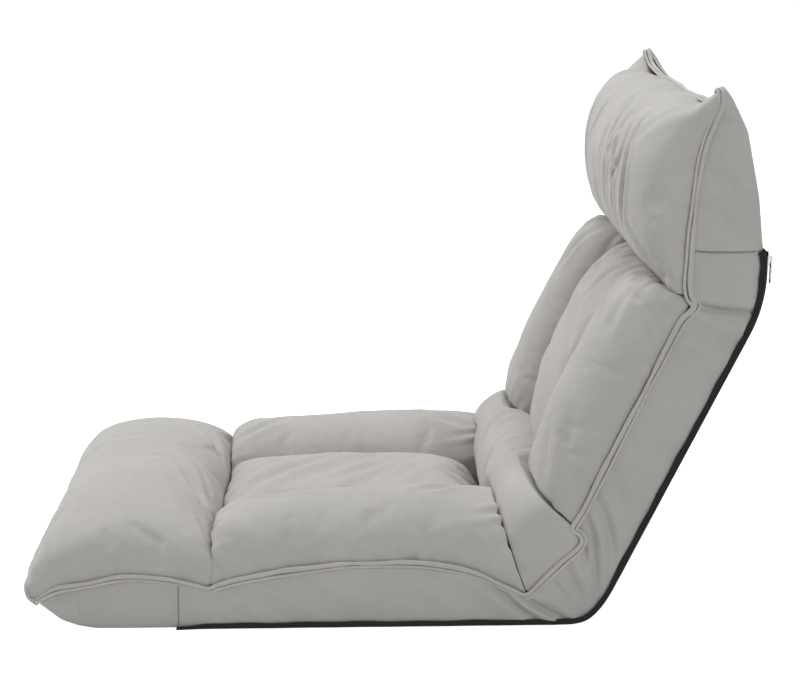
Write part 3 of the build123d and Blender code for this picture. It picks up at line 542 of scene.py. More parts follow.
# Seat side rolls and the lower panel between them.
roll_lengths = (251, 260, 278, 310, 390, 480, 560, 620, 662, 704)
roll_sides = (66, 67, 71, 78, 89, 97, 94, 82, 64, 50)
near_crowns = (116, 130, 145, 155, 161, 168, 171, 169, 163, 155)
far_crowns = (114, 128, 141, 149, 153, 158, 160, 159, 155, 149)
pads = {}
for name, side, roll_crowns in (("left", 1, near_crowns), ("right", -1, far_crowns)):
    roll = roll_along(
        "seat_roll_pad_" + name, seat_at, side * 188, 78, roll_lengths,
        (60, 60, 64, 64, 64, 64, 64, 64, 52, 42), roll_sides, roll_crowns, lean=-side * 4,
    )
    even_mesh(roll)
    puffed(roll, places_of(roll)[:, 2] < 0.075, cap=0.008)
    keep_behind(roll, seat_at(0, 257.5, 100), (0, -1, 0))
    keep_behind(roll, seat_at(0, 673, 105), (0, 0.945, 0.328), 0.004)
    keep_behind(roll, seat_at(side * 109, 400, 100), (-side, 0, 0))
    uneven(roll, 1.2, 170, 1.1 + side)
    gathered(roll, seat_at, ([255, 200, 150, 112], 259, [84, 118, 122, 100]), 3, 30, 22, 0.3 + side, side)
    rear_end = ([262, 250, 200, 150, 112], [688, 672, 652, 652, 664], [56, 100, 158, 156, 110])
    gathered(roll, seat_at, rear_end, 3, 32, 26, 2.3 + side, side)
    gathered(roll, seat_at, (266, [262, 381, 484, 573, 680], [70, 90, 99, 94, 56]), 0.9, 16, 28, 0.9, side)
    creased(roll, seat_at, (
        ([205, 225, 250], [262, 290, 340], [118, 130, 110], 7.5, 7.5),
        ([150, 165, 190], [262, 300, 350], [126, 152, 164], 5, 8.5),
        ([150, 170, 200], [640, 590, 540], [150, 168, 174], 5, 9),
        ([225, 240, 256], [646, 610, 550], [128, 134, 120], 6, 8.5),
        ([262, 240, 225], [420, 450, 500], [110, 132, 150], 3, 12),
    ), side)
    finer(roll)
    pads["seat_roll_" + name] = roll

centre_lengths = (259, 266, 285, 340, 430, 540, 600, 630, 642, 652, 672)
centre_pad = roll_along(
    "seat_centre_panel", seat_at, 0, 106.5, centre_lengths, [64] * 9 + [62, 52],
    (88, 98, 106, 112, 114, 112, 106, 96, 84, 72, 60),
    (98, 114, 124, 130, 133, 132, 127, 112, 90, 74, 64), bulk=3.0,
)
even_mesh(centre_pad)
puffed(centre_pad, places_of(centre_pad)[:, 2] < 0.075, cap=0.006)
keep_behind(centre_pad, seat_at(0, 257.5, 100), (0, -1, 0))
keep_behind(centre_pad, seat_at(0, 670, 80), (0, 0.945, 0.328))
for side in (1, -1):
    keep_behind(centre_pad, seat_at(side * 108, 0, 100), (side, 0, 0))
creased(centre_pad, seat_at, (
    ([96, 30, -50, -100], [275, 330, 420, 520], [112, 124, 124, 112], 7.5, 12),
    ([104, 70, 0, -90], [350, 400, 480, 560], [108, 120, 126, 114], 7, 12),
    ([100, 60, 0, -60], [470, 510, 550, 600], [108, 122, 124, 112], 6, 11),
    ([60, 10, -50], [262, 300, 350], [112, 122, 122], 6, 9),
    ([84, 66, 20], [642, 600, 550], [100, 118, 124], 7.5, 8),
    ([30, 20, -10], [642, 600, 560], [100, 118, 124], 7, 8),
    ([-30, -36, -66], [642, 596, 550], [100, 118, 122], 7.5, 9),
))
gathered(centre_pad, seat_at, ([100, 0, -100], 641, [96, 100, 96]), 3.5, 45, 24, 0.5)
gathered(centre_pad, seat_at, ([100, 0, -100], 259, [96, 100, 96]), 2, 25, 30, 1.5)
uneven(centre_pad, 1.2, 130, 2.2)
finer(centre_pad)

# The lumbar roll fills the corner between seat and back.
lumbar_centre = (
    (690, 54), (668, 76), (653, 106), (647, 136), (652, 164), (670, 187), (698, 199),
    (728, 196), (750, 180), (765, 154), (764, 128), (746, 104), (724, 80), (706, 62),
)
lumbar_side = (
    (689, 44), (686, 50), (686, 58), (692, 64), (704, 75), (722, 91), (740, 108),
    (753, 126), (757, 140), (767, 141), (771, 124), (754, 98), (730, 71), (706, 48),
)
lumbar = roll_across("lumbar_roll_pad", seat_at, lumbar_centre, lumbar_side, power=4.6)
even_mesh(lumbar)
inside = places_of(lumbar) - seat_at(0, 684, 52)
held = inside @ np.array((0, -0.68, 0.73)) < 0.012
puffed(lumbar, held, cap=0.008)
meet(lumbar, seat_at(0, 673, 106), (0, -0.945, -0.328), 95)
meet(lumbar, seat_at(0, 731.5, 165), (0, 0.671, 0.741), 95)
uneven(lumbar, 1.2, 150, 0.2)
creased(lumbar, seat_at, (
    ([130, 112, 84, 50, 20], [654, 650, 654, 670, 700], [104, 132, 160, 184, 196], 10, 8),
    ([40, 20, -10, -50, -80], [652, 650, 656, 672, 700], [110, 140, 166, 186, 196], 9.5, 8),
    ([-60, -84, -120], [652, 660, 684], [130, 164, 190], 7, 8),
    ([-150, -170, -200], [656, 668, 690], [130, 166, 186], 6, 9),
    ([236, 220, 190], [706, 690, 674], [90, 120, 150], 5.5, 9),
    ([255, 240, 214, 180], [745, 735, 722, 715], [122, 142, 160, 176], 6.5, 7),
))
places = [255, 120, 0, -120, -255]
gathered(lumbar, seat_at, (places, [756, 757, 757, 757, 756], [130, 150, 152, 150, 130]), 3, 30, 26, 0.6)
gathered(lumbar, seat_at, (places, [692, 672, 670, 672, 692], [56, 74, 76, 74, 56]), 3, 28, 24, 2.6)
finer(lumbar)

# Back side rolls and the lower panel between them.
back_lengths = (94, 104, 125, 150, 190, 246, 310, 370, 410, 436, 447, 453)
back_sides = (62, 64, 66, 67, 68, 69, 70, 70, 70, 69, 67, 66)
back_crowns = (120, 124, 131, 138, 143, 148, 147, 145, 140, 129, 117, 102)
for name, side in (("left", 1), ("right", -1)):
    roll = roll_along(
        "back_roll_pad_" + name, back_at, side * 188, 78, back_lengths,
        (50, 54, 60, 62, 62, 62, 62, 62, 62, 62, 62, 62), back_sides, back_crowns, lean=-side * 5,
    )
    even_mesh(roll)
    puffed(roll, front_of(roll, back_at) < 0.073, cap=0.008)
    keep_behind(roll, back_at(side * 109, 0, 0), (-side, 0, 0))
    keep_behind(roll, seat_at(0, 735, 168), (0, -0.671, -0.741), 0.006)
    uneven(roll, 1.2, 170, 3.1 + side)
    gathered(roll, back_at, ([255, 200, 150, 112], 447, [84, 112, 114, 96]), 3, 32, 24, 0.8 + side, side)
    low_end = ([260, 200, 150, 112], [104, 118, 118, 110], [74, 112, 114, 90])
    gathered(roll, back_at, low_end, 3, 30, 24, 1.8 + side, side)
    gathered(roll, back_at, (266, [125, 271, 445], [68, 70, 69]), 0.9, 16, 30, 2.0, side)
    creased(roll, back_at, (
        ([240, 228, 205], [118, 160, 210], [100, 122, 142], 6, 9),
        ([264, 246, 232], [150, 190, 240], [86, 112, 130], 4, 11),
        ([150, 165, 175], [446, 405, 350], [118, 140, 146], 6, 8.5),
        ([196, 226, 262], [434, 436, 424], [126, 116, 84], 9, 6),
        ([225, 244, 264], [418, 420, 404], [128, 112, 84], 5, 6),
        ([215, 222, 228], [446, 410, 360], [112, 130, 136], 5, 9),
    ), side)
    finer(roll)
    pads["back_roll_" + name] = roll

back_panel = roll_along(
    "back_centre_panel", back_at, 0, 106.5, (100, 118, 150, 220, 300, 380, 420, 438, 450), [62] * 9,
    (72, 82, 94, 108, 112, 108, 96, 84, 74), (84, 98, 112, 127, 132, 128, 116, 102, 86), bulk=2.7,
)
even_mesh(back_panel)
puffed(back_panel, front_of(back_panel, back_at) < 0.073, cap=0.006)
for side in (1, -1):
    keep_behind(back_panel, back_at(side * 108, 0, 0), (side, 0, 0))
creased(back_panel, back_at, (
    ([90, 30, -50, -100], [150, 200, 240, 300], [108, 122, 128, 116], 5, 12),
    ([-90, -40, 30, 95], [410, 350, 320, 260], [108, 126, 130, 118], 5, 12),
    ([60, 30, 10], [442, 400, 350], [96, 122, 130], 7, 9),
    ([-40, -44, -60], [442, 400, 360], [96, 122, 130], 6, 9),
))
gathered(back_panel, back_at, ([100, 0, -100], 446, [84, 88, 84]), 3.5, 40, 24, 2.5)
gathered(back_panel, back_at, ([100, 0, -100], 126, [84, 88, 84]), 3, 35, 26, 0.1)
uneven(back_panel, 1.2, 130, 5.2)
finer(back_panel)

# The head pillow: pointed top corners, and long curved folds down its front.
pillow_centre = (
    (4, 4), (6, 24), (18, 46), (44, 70), (82, 87), (128, 97), (164, 98),
    (199, 90), (225, 74), (240, 52), (246, 25), (244, 4), (236, -7), (180, 2), (90, 4),
)
pillow_side = (
    (2, -4), (1, 5), (8, 12), (36, 13), (70, 16), (110, 19), (150, 20),
    (190, 18), (220, 12), (238, 8), (248, 3), (250, -4), (244, -10), (180, 0), (90, 2),
)
pillow = roll_across("head_pillow_pad", pillow_at, pillow_centre, pillow_side, power=4.0)
even_mesh(pillow)
puffed(pillow, front_of(pillow, pillow_at) < 0.013, cap=0.009)
uneven(pillow, 1.2, 160, 4.2)
pillow_folds = []
for across, bow, depth, low, high in (
    (178, 22, 7.0, 52, 238), (140, 30, 5.5, 112, 222), (116, 24, 8.5, 34, 206),
    (84, 14, 5.0, 122, 238), (54, 34, 8.0, 46, 232), (10, 20, 6.0, 92, 238),
    (-46, 26, 7.5, 38, 172), (-92, 14, 5.5, 130, 238), (-150, 12, 6.0, 60, 226),
):
    lengths = np.linspace(low, high, 5)
    front = np.interp(lengths, [34, 84, 128, 164, 199, 225, 243], [62, 88, 99, 100, 93, 76, 46])
    bend = np.array((-0.9, 0.1, 0.6, 0.1, -1.1)) * bow
    pillow_folds.append((across + bend, lengths, front, depth, 6.2))
creased(pillow, pillow_at, pillow_folds)
for side in (1, -1):
    creased(pillow, pillow_at, (
        ([256, 240, 220, 196], [244, 232, 212, 192], [20, 42, 64, 86], 6, 9),
        ([252, 225, 190], [24, 44, 76], [30, 58, 82], 6, 9),
    ), side)
creased(pillow, pillow_at, [([264, 250, 232], [90, 96, 104], [24, 48, 70], 3, 12)])
places = [255, 130, 0, -130, -255]
gathered(pillow, pillow_at, (places, [14, 16, 16, 16, 14], [10, 34, 36, 34, 10]), 2.8, 34, 26, 0.4)
gathered(pillow, pillow_at, (places, [254, 242, 240, 242, 254], [2, 6, 6, 6, 2]), 2.6, 34, 30, 1.4)
for side in (-1, 1):
    pulled_to(pillow, pillow_at(side * 258, 242, 2), pillow_at(side * 266, 270, 3), 0.036)
finer(pillow)

# Gathered strip in the neck crease.
neck_at = leaning(972.9, 460.9, 65)
neck_centre = (
    (-22, 84), (-25, 96), (-22, 110), (-12, 119), (0, 118), (7, 108), (8, 96), (3, 86), (-8, 82),
)
neck_side = (
    (-20, 66), (-26, 72), (-25, 82), (-15, 88), (-4, 90), (6, 87), (9, 80), (4, 70), (-8, 65),
)
neck_strip = roll_across("neck_gathers", neck_at, neck_centre, neck_side, half=265.5)
even_mesh(neck_strip, 0.005)
gathered(neck_strip, neck_at, ([250, 100, 0, -100, -250], -8, [88, 118, 119, 118, 88]), 3, 30, 17, 0.2)
finer(neck_strip)

for piece in (front_roll, centre_pad, pads["seat_roll_left"], pads["seat_roll_right"]):
    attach(piece, "seat")
# The back pads' placing is baked into their meshes.
for piece in (back_panel, pads["back_roll_left"], pads["back_roll_right"]):
    tuple(back_at(0, 390, 100))
    tuple(back_at(0, 520, 100))
    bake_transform(piece)
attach(pillow, "head")
tuple(seat_at(0, 690, 90))
tuple(seat_at(0, 752, 150))
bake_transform(lumbar)
tuple(neck_at(0, -22, 95))
tuple(neck_at(0, 8, 100))
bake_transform(neck_strip)
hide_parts("front_roll")
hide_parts("seat_centre_pad")
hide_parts("back_centre_pad")
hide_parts("lumbar_roll")
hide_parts("neck_fold")
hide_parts("head_pillow")
for name, piece in pads.items():
    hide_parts(name)


# ---- side covers

HIP_BEND = tuple(seat_at(0, 705, 40)), tuple(seat_at(0, 785, 130))
NECK_BEND = tuple(neck_at(0, -28, 20)), tuple(head_at(0, 35, 20))

# Places along the chair where the cover is measured: its lower or rear edge, then the seam above it.
cover_stations = (
    (3, 61, 4, 63), (13, 49, 13, 53), (29, 33, 29, 53), (49, 15, 46, 61), (72, 6, 72, 68),
    (96, 1.5, 100, 72), (148, 1, 148, 80), (200, 1, 196, 75), (257, 1, 257, 62), (312, 1, 312, 76),
    (381, 1, 381, 87), (450, 1, 450, 96), (518, 1, 518, 96), (573, 1, 573, 91), (629, 1, 629, 77),
    (672, 1, 657, 62), (718, 1.5, 692, 44), (748, 2, 705, 57), (772, 6, 719, 69), (792, 21, 738, 90),
    (807, 45, 753, 104), (820, 72, 765, 117), (831, 93, 763, 129), (840, 112, 758, 143),
    (848, 132, 763, 158), (859, 160, 771, 172), (878, 200, 790, 215), (896, 240, 809, 258),
    (915, 279, 828, 300), (934, 317, 847, 341), (952, 355, 865, 381), (970, 390, 882, 418),
    (980, 411, 893, 440), (986, 425, 901, 452),
)
neck_stations = (
    (974, 398, 887, 428), (980, 411, 893, 440), (987, 429, 904, 454), (992.5, 447, 910, 460),
    (996, 467, 903, 469), (998, 487, 899, 486), (998.5, 507, 899, 507), (997, 524, 899, 524),
    (991, 540, 900, 540),
)
hood_stations = (
    (996, 531, 899, 531), (992, 560, 900, 561), (987, 600, 903, 614), (979, 636, 906, 640),
    (967, 688, 913, 672), (957, 708, 920, 694), (946, 725, 927, 712), (936, 734, 931, 728),
)


def fold_field(along, up, folds):
    """Height of soft folds on a side panel; a fold is its height, its width and its places, along and up."""
    points = np.stack((along.ravel(), up.ravel()), -1)
    total = np.zeros(len(points))
    for height, width, *line in folds:
        gap, share = distance_to(points, smooth_line(np.reshape(line, (-1, 2)), 14))
        fade = np.sin(np.pi * np.clip(share, 0.04, 0.96)) ** 0.6
        total += height * fade * np.exp(-((gap / width) ** 2))
    return total.reshape(along.shape)


side_folds = (
    # Front end: short folds that hang from the corner, then soft ones under the first crease.
    (3.2, 6, 38, 58, 52, 40, 60, 20), (-2.6, 6, 56, 62, 70, 44, 78, 16), (2.6, 8, 80, 68, 92, 48, 96, 18),
    (1.8, 10, 140, 78, 150, 50, 146, 14), (-1.8, 8, 212, 70, 204, 44, 208, 14),
    (2.4, 8, 262, 60, 256, 44, 240, 26), (2.6, 7, 276, 62, 300, 44, 330, 12),
    (-2.8, 7, 292, 68, 330, 44, 372, 14), (3.2, 7, 312, 74, 352, 52, 404, 18),
    (-2.4, 8, 340, 80, 390, 54, 446, 20), (2.4, 9, 372, 84, 424, 62, 486, 30),
    # Rear half of the seat: long soft folds that lean towards the hip.
    (3.1, 10, 500, 90, 548, 62, 600, 20), (-3.6, 9, 560, 86, 606, 52, 650, 14),
    (4.4, 8, 600, 78, 648, 44, 690, 10), (-7.2, 5, 650, 60, 676, 36, 712, 6),
    (5.9, 5, 664, 58, 690, 33, 728, 12, 746, 4), (-7.8, 5, 690, 42, 716, 26, 748, 9),
    (6.0, 6, 700, 46, 728, 39, 752, 22, 764, 8),
    # Folds that hang from the kink at the hip and fan out below it.
    (-4.4, 6, 722, 72, 738, 56, 752, 36), (-5.7, 5, 742, 92, 758, 66, 772, 40),
    (5.5, 6, 756, 104, 768, 80, 780, 50), (-8.5, 4.5, 768, 126, 774, 108, 778, 88),
    (-7.2, 4.5, 770, 168, 782, 138, 786, 104, 790, 70, 792, 36),
    (6.5, 6, 776, 176, 792, 146, 798, 110, 800, 78), (-6.0, 6, 784, 196, 798, 166, 810, 122, 812, 90),
    (4.7, 8, 792, 208, 808, 176, 822, 134), (-3.4, 9, 800, 243, 816, 206, 834, 164),
    (3.1, 10, 806, 262, 836, 244, 862, 206),
    # Back: slow waves, then the folds that lead into the neck.
    (-1.8, 11, 818, 276, 858, 262, 890, 246), (2.2, 11, 846, 336, 884, 318, 922, 300),
    (-2.4, 10, 868, 384, 908, 366, 944, 352), (3.2, 9, 884, 416, 922, 396, 960, 380),
    (-3.4, 6, 894, 440, 936, 416, 976, 402), (3.0, 6, 900, 450, 944, 430, 986, 420),
)
neck_folds = (
    (-3.4, 6, 894, 440, 936, 416, 976, 402), (4.6, 7, 900, 450, 944, 434, 986, 424),
    (-9.0, 4.2, 908, 459, 950, 452, 994, 447), (5.6, 7, 904, 472, 946, 466, 994, 462),
    (-1.8, 9, 900, 492, 944, 488, 988, 498), (2.0, 9, 903, 512, 944, 506, 978, 512),
)
hood_folds = (
    (2.2, 8, 906, 566, 936, 552, 968, 540), (-2.6, 8, 904, 596, 936, 580, 974, 552),
    (3.2, 8, 905, 618, 938, 604, 976, 572), (-3.0, 8, 908, 640, 942, 626, 976, 592),
    (2.6, 9, 912, 660, 940, 646, 972, 616), (-2.2, 7, 926, 704, 946, 696, 958, 676),
    (2.2, 6, 930, 724, 944, 706, 956, 700),
)


def wrap_cover(name, stations, folds, rows, bulge=3.0, out=267.3):
    """Thin cover round the side, under or behind, and up the other side."""
    side_columns, floor_columns, inset = 30, 15, 5.0
    # Both edges run at the same rate: each row joins matching shares of the two lines.
    shares = np.linspace(0, len(stations) - 1, rows)
    kernel = np.hanning(9)
    kernel /= kernel.sum()
    edges = []
    for values in np.array(stations, float).T:
        values = np.interp(shares, np.arange(len(stations)), values)
        ends = np.concatenate((np.full(4, values[0]), values, np.full(4, values[-1])))
        edges.append(np.convolve(ends, kernel, "valid")[:, None])
    low_along, low_up, high_along, high_up = edges
    rise = np.linspace(1, 0, side_columns)[None, :]
    along = low_along + (high_along - low_along) * rise
    up = low_up + (high_up - low_up) * rise
    belly = bulge * np.sin(np.pi * rise) ** 0.8
    across = out + belly - inset * (1 - rise) ** 14 + fold_field(along, up, folds)
    left = seat_at(across, along, up)
    right = seat_at(-across, along, up)[:, ::-1]
    flat = np.linspace(1, -1, floor_columns + 2)[1:-1][None, :]
    middle = seat_at(flat * (out - inset), low_along, low_up)
    grid = np.concatenate((left, middle, right), axis=1)
    piece = mesh_piece(name, grid.reshape(-1, 3), grid_faces(*grid.shape[:2], False), suede)
    return thickened(piece, 0.0016, -1)


side_cover = wrap_cover("side_cover", cover_stations, side_folds, 380)
neck_cover = wrap_cover("neck_cover", neck_stations, neck_folds, 60)
hood_cover = wrap_cover("hood_cover", hood_stations, hood_folds, 90, bulge=5.0, out=267.9)
# Between its corners the top of the hood sags to the seam that closes it.
points = places_of(hood_cover)
sag = soft_step((points[:, 2] - 0.672) / 0.062) * np.clip(1 - np.abs(points[:, 0] / 0.258) ** 2.6, 0, 1)
points[:, 2] -= 0.0215 * sag
points[:, 1] += 0.003 * sag
set_places(hood_cover, points)
for side in (-1, 1):
    pulled_to(hood_cover, seat_at(side * 265, 934, 730), seat_at(side * 267, 931, 741), 0.034)
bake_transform(side_cover)
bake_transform(neck_cover)
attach(hood_cover, "head")
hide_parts("seat_boxing", "hip_gussets", "back_boxing")
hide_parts("neck_gussets")
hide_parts("head_hood")


# ---- foam inside

def foam_block(name, at, outline, half=258.0):
    """Foam core with softly rounded edges."""
    outline = np.array(outline, float)
    rings = []
    centre = outline.mean(0)
    edge = [(-half, 0.93), (-half + 4, 0.985), (-half + 10, 1.0)]
    for across, size in edge + [(-across, size) for across, size in reversed(edge)]:
        shape = centre + (outline - centre) * size
        rings.append(at(np.full(len(outline), across), shape[:, 0], shape[:, 1]))
    return ring_piece(name, np.array(rings), foam)


seat_block = foam_block(
    "seat_foam_block", seat_at,
    ((98, 5), (51, 21), (34, 37), (12, 60), (60, 61), (200, 61),
     (400, 61), (655, 61), (682, 42), (728, 5), (500, 4), (250, 4)),
)
back_block = foam_block(
    "back_foam_block", back_at,
    ((42, -24), (68, 18), (86, 40), (104, 59), (200, 59), (330, 59),
     (430, 59), (447, 54), (453, 0), (453, -24), (330, -24), (150, -24)),
)
head_block = foam_block(
    "head_foam_block", head_at,
    ((28, -20), (38, 62), (110, 44), (180, 25), (236, 8),
     (240, -4), (228, -11), (212, -17), (172, -21), (100, -21)),
)
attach(seat_block, "seat")
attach(back_block, "back")
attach(head_block, "head")
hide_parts("seat_foam")
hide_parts("back_foam")
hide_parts("head_foam")


# ---- seams with two lips

def frame_along(path, outward):
    """Unit directions along a path: forward, squarely away from the chair, and across both."""
    tangent = np.gradient(path, axis=0)
    tangent /= np.linalg.norm(tangent, axis=1, keepdims=True)
    square = outward - (outward * tangent).sum(1, keepdims=True) * tangent
    square /= np.linalg.norm(square, axis=1, keepdims=True)
    return tangent, square, np.cross(tangent, square)


def swept_lip(path, outward, tall, thick, drop, standoff, columns=14):
    """Rings of a soft flat lip along a path; outward points away from the chair."""
    _, square, upward = frame_along(path, outward)
    angle = np.linspace(0, 2 * np.pi, columns, endpoint=False)
    offset_out = standoff + thick * np.cos(angle)[None, :]
    offset_up = -drop[:, None] + tall[:, None] * np.sin(angle)[None, :]
    return (
        path[:, None, :]
        + square[:, None, :] * offset_out[:, :, None] * MM
        + upward[:, None, :] * offset_up[:, :, None] * MM
    )


def whole_seam(half):
    """Points and outward directions from one side over the middle to the other side."""
    near = np.array([place if len(place) == 6 else (*place, 1, 0, 0) for place in half], float)
    whole = np.vstack((near, near[-2::-1] * (-1, 1, 1, -1, 1, 1)))
    return seat_at(*whole[:, :3].T), whole[:, 3:]


STITCH_PITCH, STITCH_SIDES = 0.0042, 6


def build_seam(name, half, count):
    """Flanged seam: a thick upper lip, a thin lower one that wanders, and stitches along the top."""
    points, outward = whole_seam(half)
    path = smooth_line(points, count)
    outward = smooth_line(outward, count)
    outward /= np.linalg.norm(outward, axis=1, keepdims=True)
    length = np.linalg.norm(np.diff(path, axis=0), axis=1).sum()
    along = np.linspace(0, 1, count) * length
    wander = np.sin(along / 0.031) + 0.7 * np.sin(along / 0.047 + 1.3) + 0.5 * np.sin(along / 0.013)
    pinch = np.maximum(np.sin(along / 0.0195 + 2.0 * np.sin(along / 0.11)), 0) ** 6
    path = path + np.array((0, 0, 1)) * (0.0009 * wander)[:, None]
    main = swept_lip(path, outward, 3.3 + 0.4 * wander - 0.7 * pinch, 2.3, np.full(count, -1.0), 2.2)
    lower = swept_lip(path, outward, np.full(count, 2.1), 1.9, 4.9 + 0.7 * wander, 1.9)
    rows, columns = main.shape[:2]
    faces = tube_faces(rows, columns) + tube_faces(rows, columns, rows * columns)
    # The lips take the lighter copy of the suede, a painted highlight.
    piece = mesh_piece(name, np.vstack((main, lower)).reshape(-1, 3), faces, seam_suede_painted_highlight)
    # Stitches: short rounded dashes along the top edge of the upper lip.
    tangent, square, upward = frame_along(path, outward)
    points, faces = [], []
    for place in np.linspace(0, count - 1, int(length / STITCH_PITCH) + 2)[1:-1]:
        low = int(place)
        share = place - low
        centre = path[low] * (1 - share) + path[min(low + 1, count - 1)] * share
        centre = centre + square[low] * 0.0043 + upward[low] * 0.0020
        faces += tube_faces(4, STITCH_SIDES, len(points))
        for step, radius in ((-1.5, 0.12), (-0.9, 0.42), (0.9, 0.42), (1.5, 0.12)):
            for angle in np.linspace(0, 2 * np.pi, STITCH_SIDES, endpoint=False):
                ring_out = square[low] * (radius * math.cos(angle) * MM)
                ring_up = upward[low] * (radius * math.sin(angle) * MM)
                points.append(centre + tangent[low] * step * MM + ring_out + ring_up)
    return piece, mesh_piece(name + "_stitches", points, faces, thread)


# Half of each seam as across, along and up, and its outward direction where that isn't straight out
# to the side; the other half mirrors it.
low_seam_half = (
    (267, 904, 466), (267, 909, 458), (267, 900, 446), (267, 889, 433), (268, 865, 382), (268, 828, 301),
    (268, 790, 216), (268, 771, 173), (268, 758, 150), (268, 757, 143), (269, 766, 138), (269, 770, 128),
    (268, 764, 115), (267, 744, 95), (267, 719, 70), (266, 703, 52), (266, 692, 46), (267, 676, 54),
    (268, 657, 64), (268, 629, 78), (268, 573, 92), (268, 518, 97), (268, 450, 97), (268, 381, 88),
    (268, 312, 77), (267, 274, 67), (267, 257, 62), (267, 238, 67), (268, 196, 76), (268, 148, 81),
    (268, 100, 73), (268, 66, 67), (268, 46, 61), (268, 31, 53, 1, -0.1, 0), (268.5, 18, 46, 1, -0.4, 0),
    (268, 10, 50, 0.8, -0.7, 0), (264, 6, 56, 0.4, -1, 0), (256, 4, 62, 0.1, -1, 0),
    (236, 5, 65, 0, -1, 0), (180, 5, 64, 0, -1, 0), (90, 4, 65, 0, -1, 0), (0, 4, 65, 0, -1, 0),
)
head_seam_half = (
    (267, 909, 461), (267, 902, 471), (268, 899, 486), (268, 899, 508), (268, 900, 561), (268, 903, 614),
    (268, 911, 666), (269, 922, 698), (271, 930, 720), (270.5, 930, 733, 1, 0, 0.2),
    (267, 929, 741, 0.8, 0, 0.7), (260, 929, 740, 0, -0.2, 1), (251, 930, 731, -0.3, -0.2, 1),
    (232, 932, 722, 0, -0.2, 1), (160, 934, 715, 0, -0.2, 1), (80, 935, 712, 0, -0.2, 1),
    (0, 935, 711, 0, -0.2, 1),
)
low_seam, low_stitches = build_seam("low_seam", low_seam_half, 900)
head_seam, head_stitches = build_seam("head_seam", head_seam_half, 420)
for piece in (low_seam, low_stitches):
    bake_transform(piece)
for piece in (head_seam, head_stitches):
    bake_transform(piece)
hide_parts("seat_piping", "hip_piping", "back_piping")
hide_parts("neck_piping", "head_piping")


# ---- fine seams across the side panels, drawn dark as painted shade

def panel_seam(name, line, base, belly, folds, side):
    """A thin rolled edge of cloth that follows a side panel, in a darker copy of the suede that paints the
    shade of its groove; line is along, up and the share of the rise.
    """
    places = smooth_line(line, 60)
    along, up, rise = places[:, 0], places[:, 1], places[:, 2]
    across = base + belly * np.sin(np.pi * np.clip(rise, 0, 1)) ** 0.8 + fold_field(along, up, folds)
    path = seat_at(side * (across + 0.1), along, up)
    outward = np.repeat(np.array(((side, 0.0, 0.0),)), len(path), 0)
    rings = swept_lip(path, outward, 0.8 * np.ones(60), 0.7, np.zeros(60), 0.0, 10)
    return ring_piece(name, rings, painted_shade_suede)


# Darker copy of the suede: painted shade for the groove of each fine seam.
painted_shade_suede = suede_material("grey_suede_painted_shade", (0.26, 0.253, 0.243), (0.2, 0.195, 0.187))
for side, name in ((1, "left"), (-1, "right")):
    boxing_seam = panel_seam(
        "boxing_seam_" + name, ((213, 66, 0.9), (212.5, 45, 0.6), (212, 20, 0.26), (212, 4, 0.06)),
        267.3, 3.0, side_folds, side,
    )
    hood_seam = panel_seam(
        "hood_seam_" + name, ((904, 533, 0.96), (930, 532, 0.66), (958, 532, 0.35), (984, 532, 0.06)),
        267.9, 5.0, hood_folds, side,
    )
    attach(boxing_seam, "seat")
    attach(hood_seam, "head")


# ---- black cloth

def black_strip(name, line, inward, rows, start_lip=1.0):
    """Black cloth under or behind the chair with a lip up each side; line and inward are along, up."""
    half, lip = 269.6, 8.5
    path = smooth_line(line, rows)
    inward = smooth_line(inward, rows)
    inward /= np.linalg.norm(inward, axis=1, keepdims=True)
    edge_out = half + np.array((-0.6, 0.6, 0.5, -0.7, 0.5, 0.4, -0.8, -3.0))
    edge_up = np.array((lip, lip * 0.84, lip * 0.68, lip * 0.53, lip * 0.38, lip * 0.22, 0.9, 0.1))
    out = np.concatenate((edge_out, np.linspace(half - 14, -half + 14, 21), -edge_out[::-1]))
    lift = np.concatenate((edge_up, np.zeros(21), edge_up[::-1]))
    run = np.linspace(0, 1, rows)
    wave = 1 + 0.07 * np.sin(run * rows * 0.35) + 0.05 * np.sin(run * rows * 0.13 + 1)
    wave = wave * (start_lip + (1 - start_lip) * soft_step(run * rows / 12))
    rise = lift * wave[:, None]
    along = path[:, :1] + inward[:, :1] * rise
    up = path[:, 1:] + inward[:, 1:] * rise
    grid = seat_at(out, along, up)
    piece = mesh_piece(name, grid.reshape(-1, 3), grid_faces(*grid.shape[:2], False), black_cloth)
    thickened(piece, 0.0012, 0)
    return piece


base_strip = black_strip(
    "base_cloth", ((208, 0.8), (400, 0.8), (600, 0.8), (737, 0.8)), ((0, 1),) * 4, 120, 0.15
)
hip_strip = black_strip(
    "hip_cloth",
    ((736, 0.8), (762, 2), (783, 10), (803, 33), (823, 72), (836, 100)),
    ((0, 1), (-0.12, 1), (-0.5, 0.9), (-0.8, 0.55), (-0.9, 0.43), (-0.906, 0.423)),
    50,
)
back_strip = black_strip(
    "back_cloth_strip",
    [(back_at(0, length, -28.0) / MM + (0, 400, 0))[1:] for length in (70, 180, 300, 400, 442)],
    ((-0.906, 0.423),) * 5,
    120,
)
neck_cloth = black_strip(
    "neck_cloth_strip",
    ((983.3, 416.8), (991, 436), (997, 460), (1000.5, 490), (1001, 518), (998, 533)),
    ((-0.906, 0.423), (-0.94, 0.33), (-0.98, 0.2), (-1, 0.05), (-1, 0), (-1, -0.2)),
    60,
)
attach(base_strip, "seat")
tuple(seat_at(0, 740, 2))
tuple(seat_at(0, 830, 92))
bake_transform(hip_strip)
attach(back_strip, "back")
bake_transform(neck_cloth)
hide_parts("seat_base_cloth")
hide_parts("hip_bend_cloth")
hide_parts("back_cloth")
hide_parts("neck_bend_cloth")


# ---- room, light, camera

def seen_rays(tree):
    """1 for the rays that the camera sees, straight or through metal and glass."""
    rays = tree.nodes.new("ShaderNodeLightPath").outputs
    total = rays["Is Camera Ray"]
    for kind in ("Is Glossy Ray", "Is Transmission Ray"):
        total = math_node(tree, "MAXIMUM", total, rays[kind])
    return total


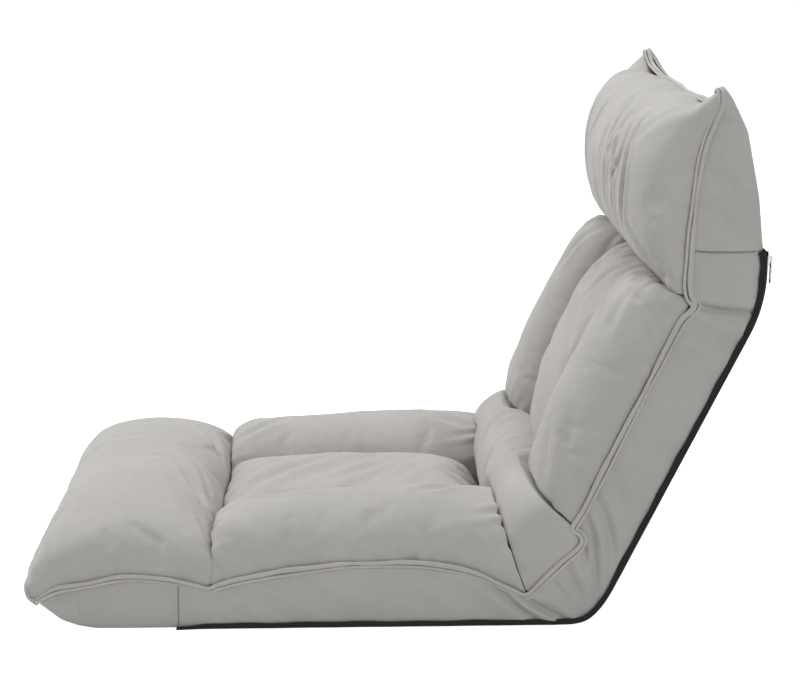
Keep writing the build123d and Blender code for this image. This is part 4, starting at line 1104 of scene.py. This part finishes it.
def floor_material():
    """A floor that looks white to the camera but throws less light up onto the chair."""
    material, tree, shader, place = node_material("pale_floor")
    coloured(tree, shader, noise(tree, place, 3.0, 2.0, 0.5), (0.69,) * 3, (0.73,) * 3)
    glow = math_node(tree, "MULTIPLY_ADD", seen_rays(tree), 0.8, 0.08)
    set_inputs(tree, shader, Roughness=0.9, Emission_Color=(1, 1, 1, 1), Emission_Strength=glow)
    return material


floor_points = [(30.0 * x, 30.0 * y, 0) for x, y in ((-1, -1), (1, -1), (1, 1), (-1, 1))]
floor = mesh_piece("floor", floor_points, [(0, 1, 2, 3)], floor_material())

world = bpy.data.worlds.new("studio")
scene.world = world
world.use_nodes = True
tree = world.node_tree
tree.nodes.clear()
seen = linked(tree, "ShaderNodeBackground", Color=(1, 1, 1, 1), Strength=1.0)
lighting = linked(tree, "ShaderNodeBackground", Color=(1, 0.995, 0.985, 1), Strength=0.31)
choose = tree.nodes.new("ShaderNodeMixShader")
for socket, value in zip(choose.inputs, (seen_rays(tree), lighting.outputs[0], seen.outputs[0])):
    fill(tree, socket, value)
linked(tree, "ShaderNodeOutputWorld", Surface=choose.outputs[0])


def soft_light(name, place, target, size, power, colour=(1, 1, 1)):
    lamp = bpy.data.lights.new(name, "AREA")
    lamp.shape = "DISK"
    lamp.size = size
    lamp.energy = power
    lamp.color = colour
    holder = added(name, lamp)
    holder.location = place
    holder.rotation_euler = (Vector(target) - Vector(place)).to_track_quat("-Z", "Y").to_euler()


soft_light("key", (-1.3, -1.7, 2.7), (0, 0.1, 0.2), 1.5, 52, (1, 0.985, 0.96))
soft_light("top", (-0.1, 0.1, 3.2), (0, 0.1, 0.2), 1.8, 22)
soft_light("front", (0.5, -3.0, 1.3), (0, 0.1, 0.3), 1.2, 9)
soft_light("behind", (2.7, 1.4, 2.2), (0, 0.4, 0.5), 1.4, 27)

camera_data = bpy.data.cameras.new("camera")
camera_data.sensor_width = 36
camera_data.lens = 72
camera = added("camera", camera_data)
turn, tilt = 0.0269, 0.2707
forward = Vector((-math.cos(tilt) * math.cos(turn), math.cos(tilt) * math.sin(turn), -math.sin(tilt)))
rightward = Vector((math.sin(turn), math.cos(turn), 0))
upward = rightward.cross(forward)
rotation = Matrix((rightward, upward, -forward)).transposed().to_4x4()
camera.matrix_world = Matrix.Translation((2.3077, 0.0635, 0.9768)) @ rotation
scene.camera = camera
scene.view_settings.view_transform = "Standard"
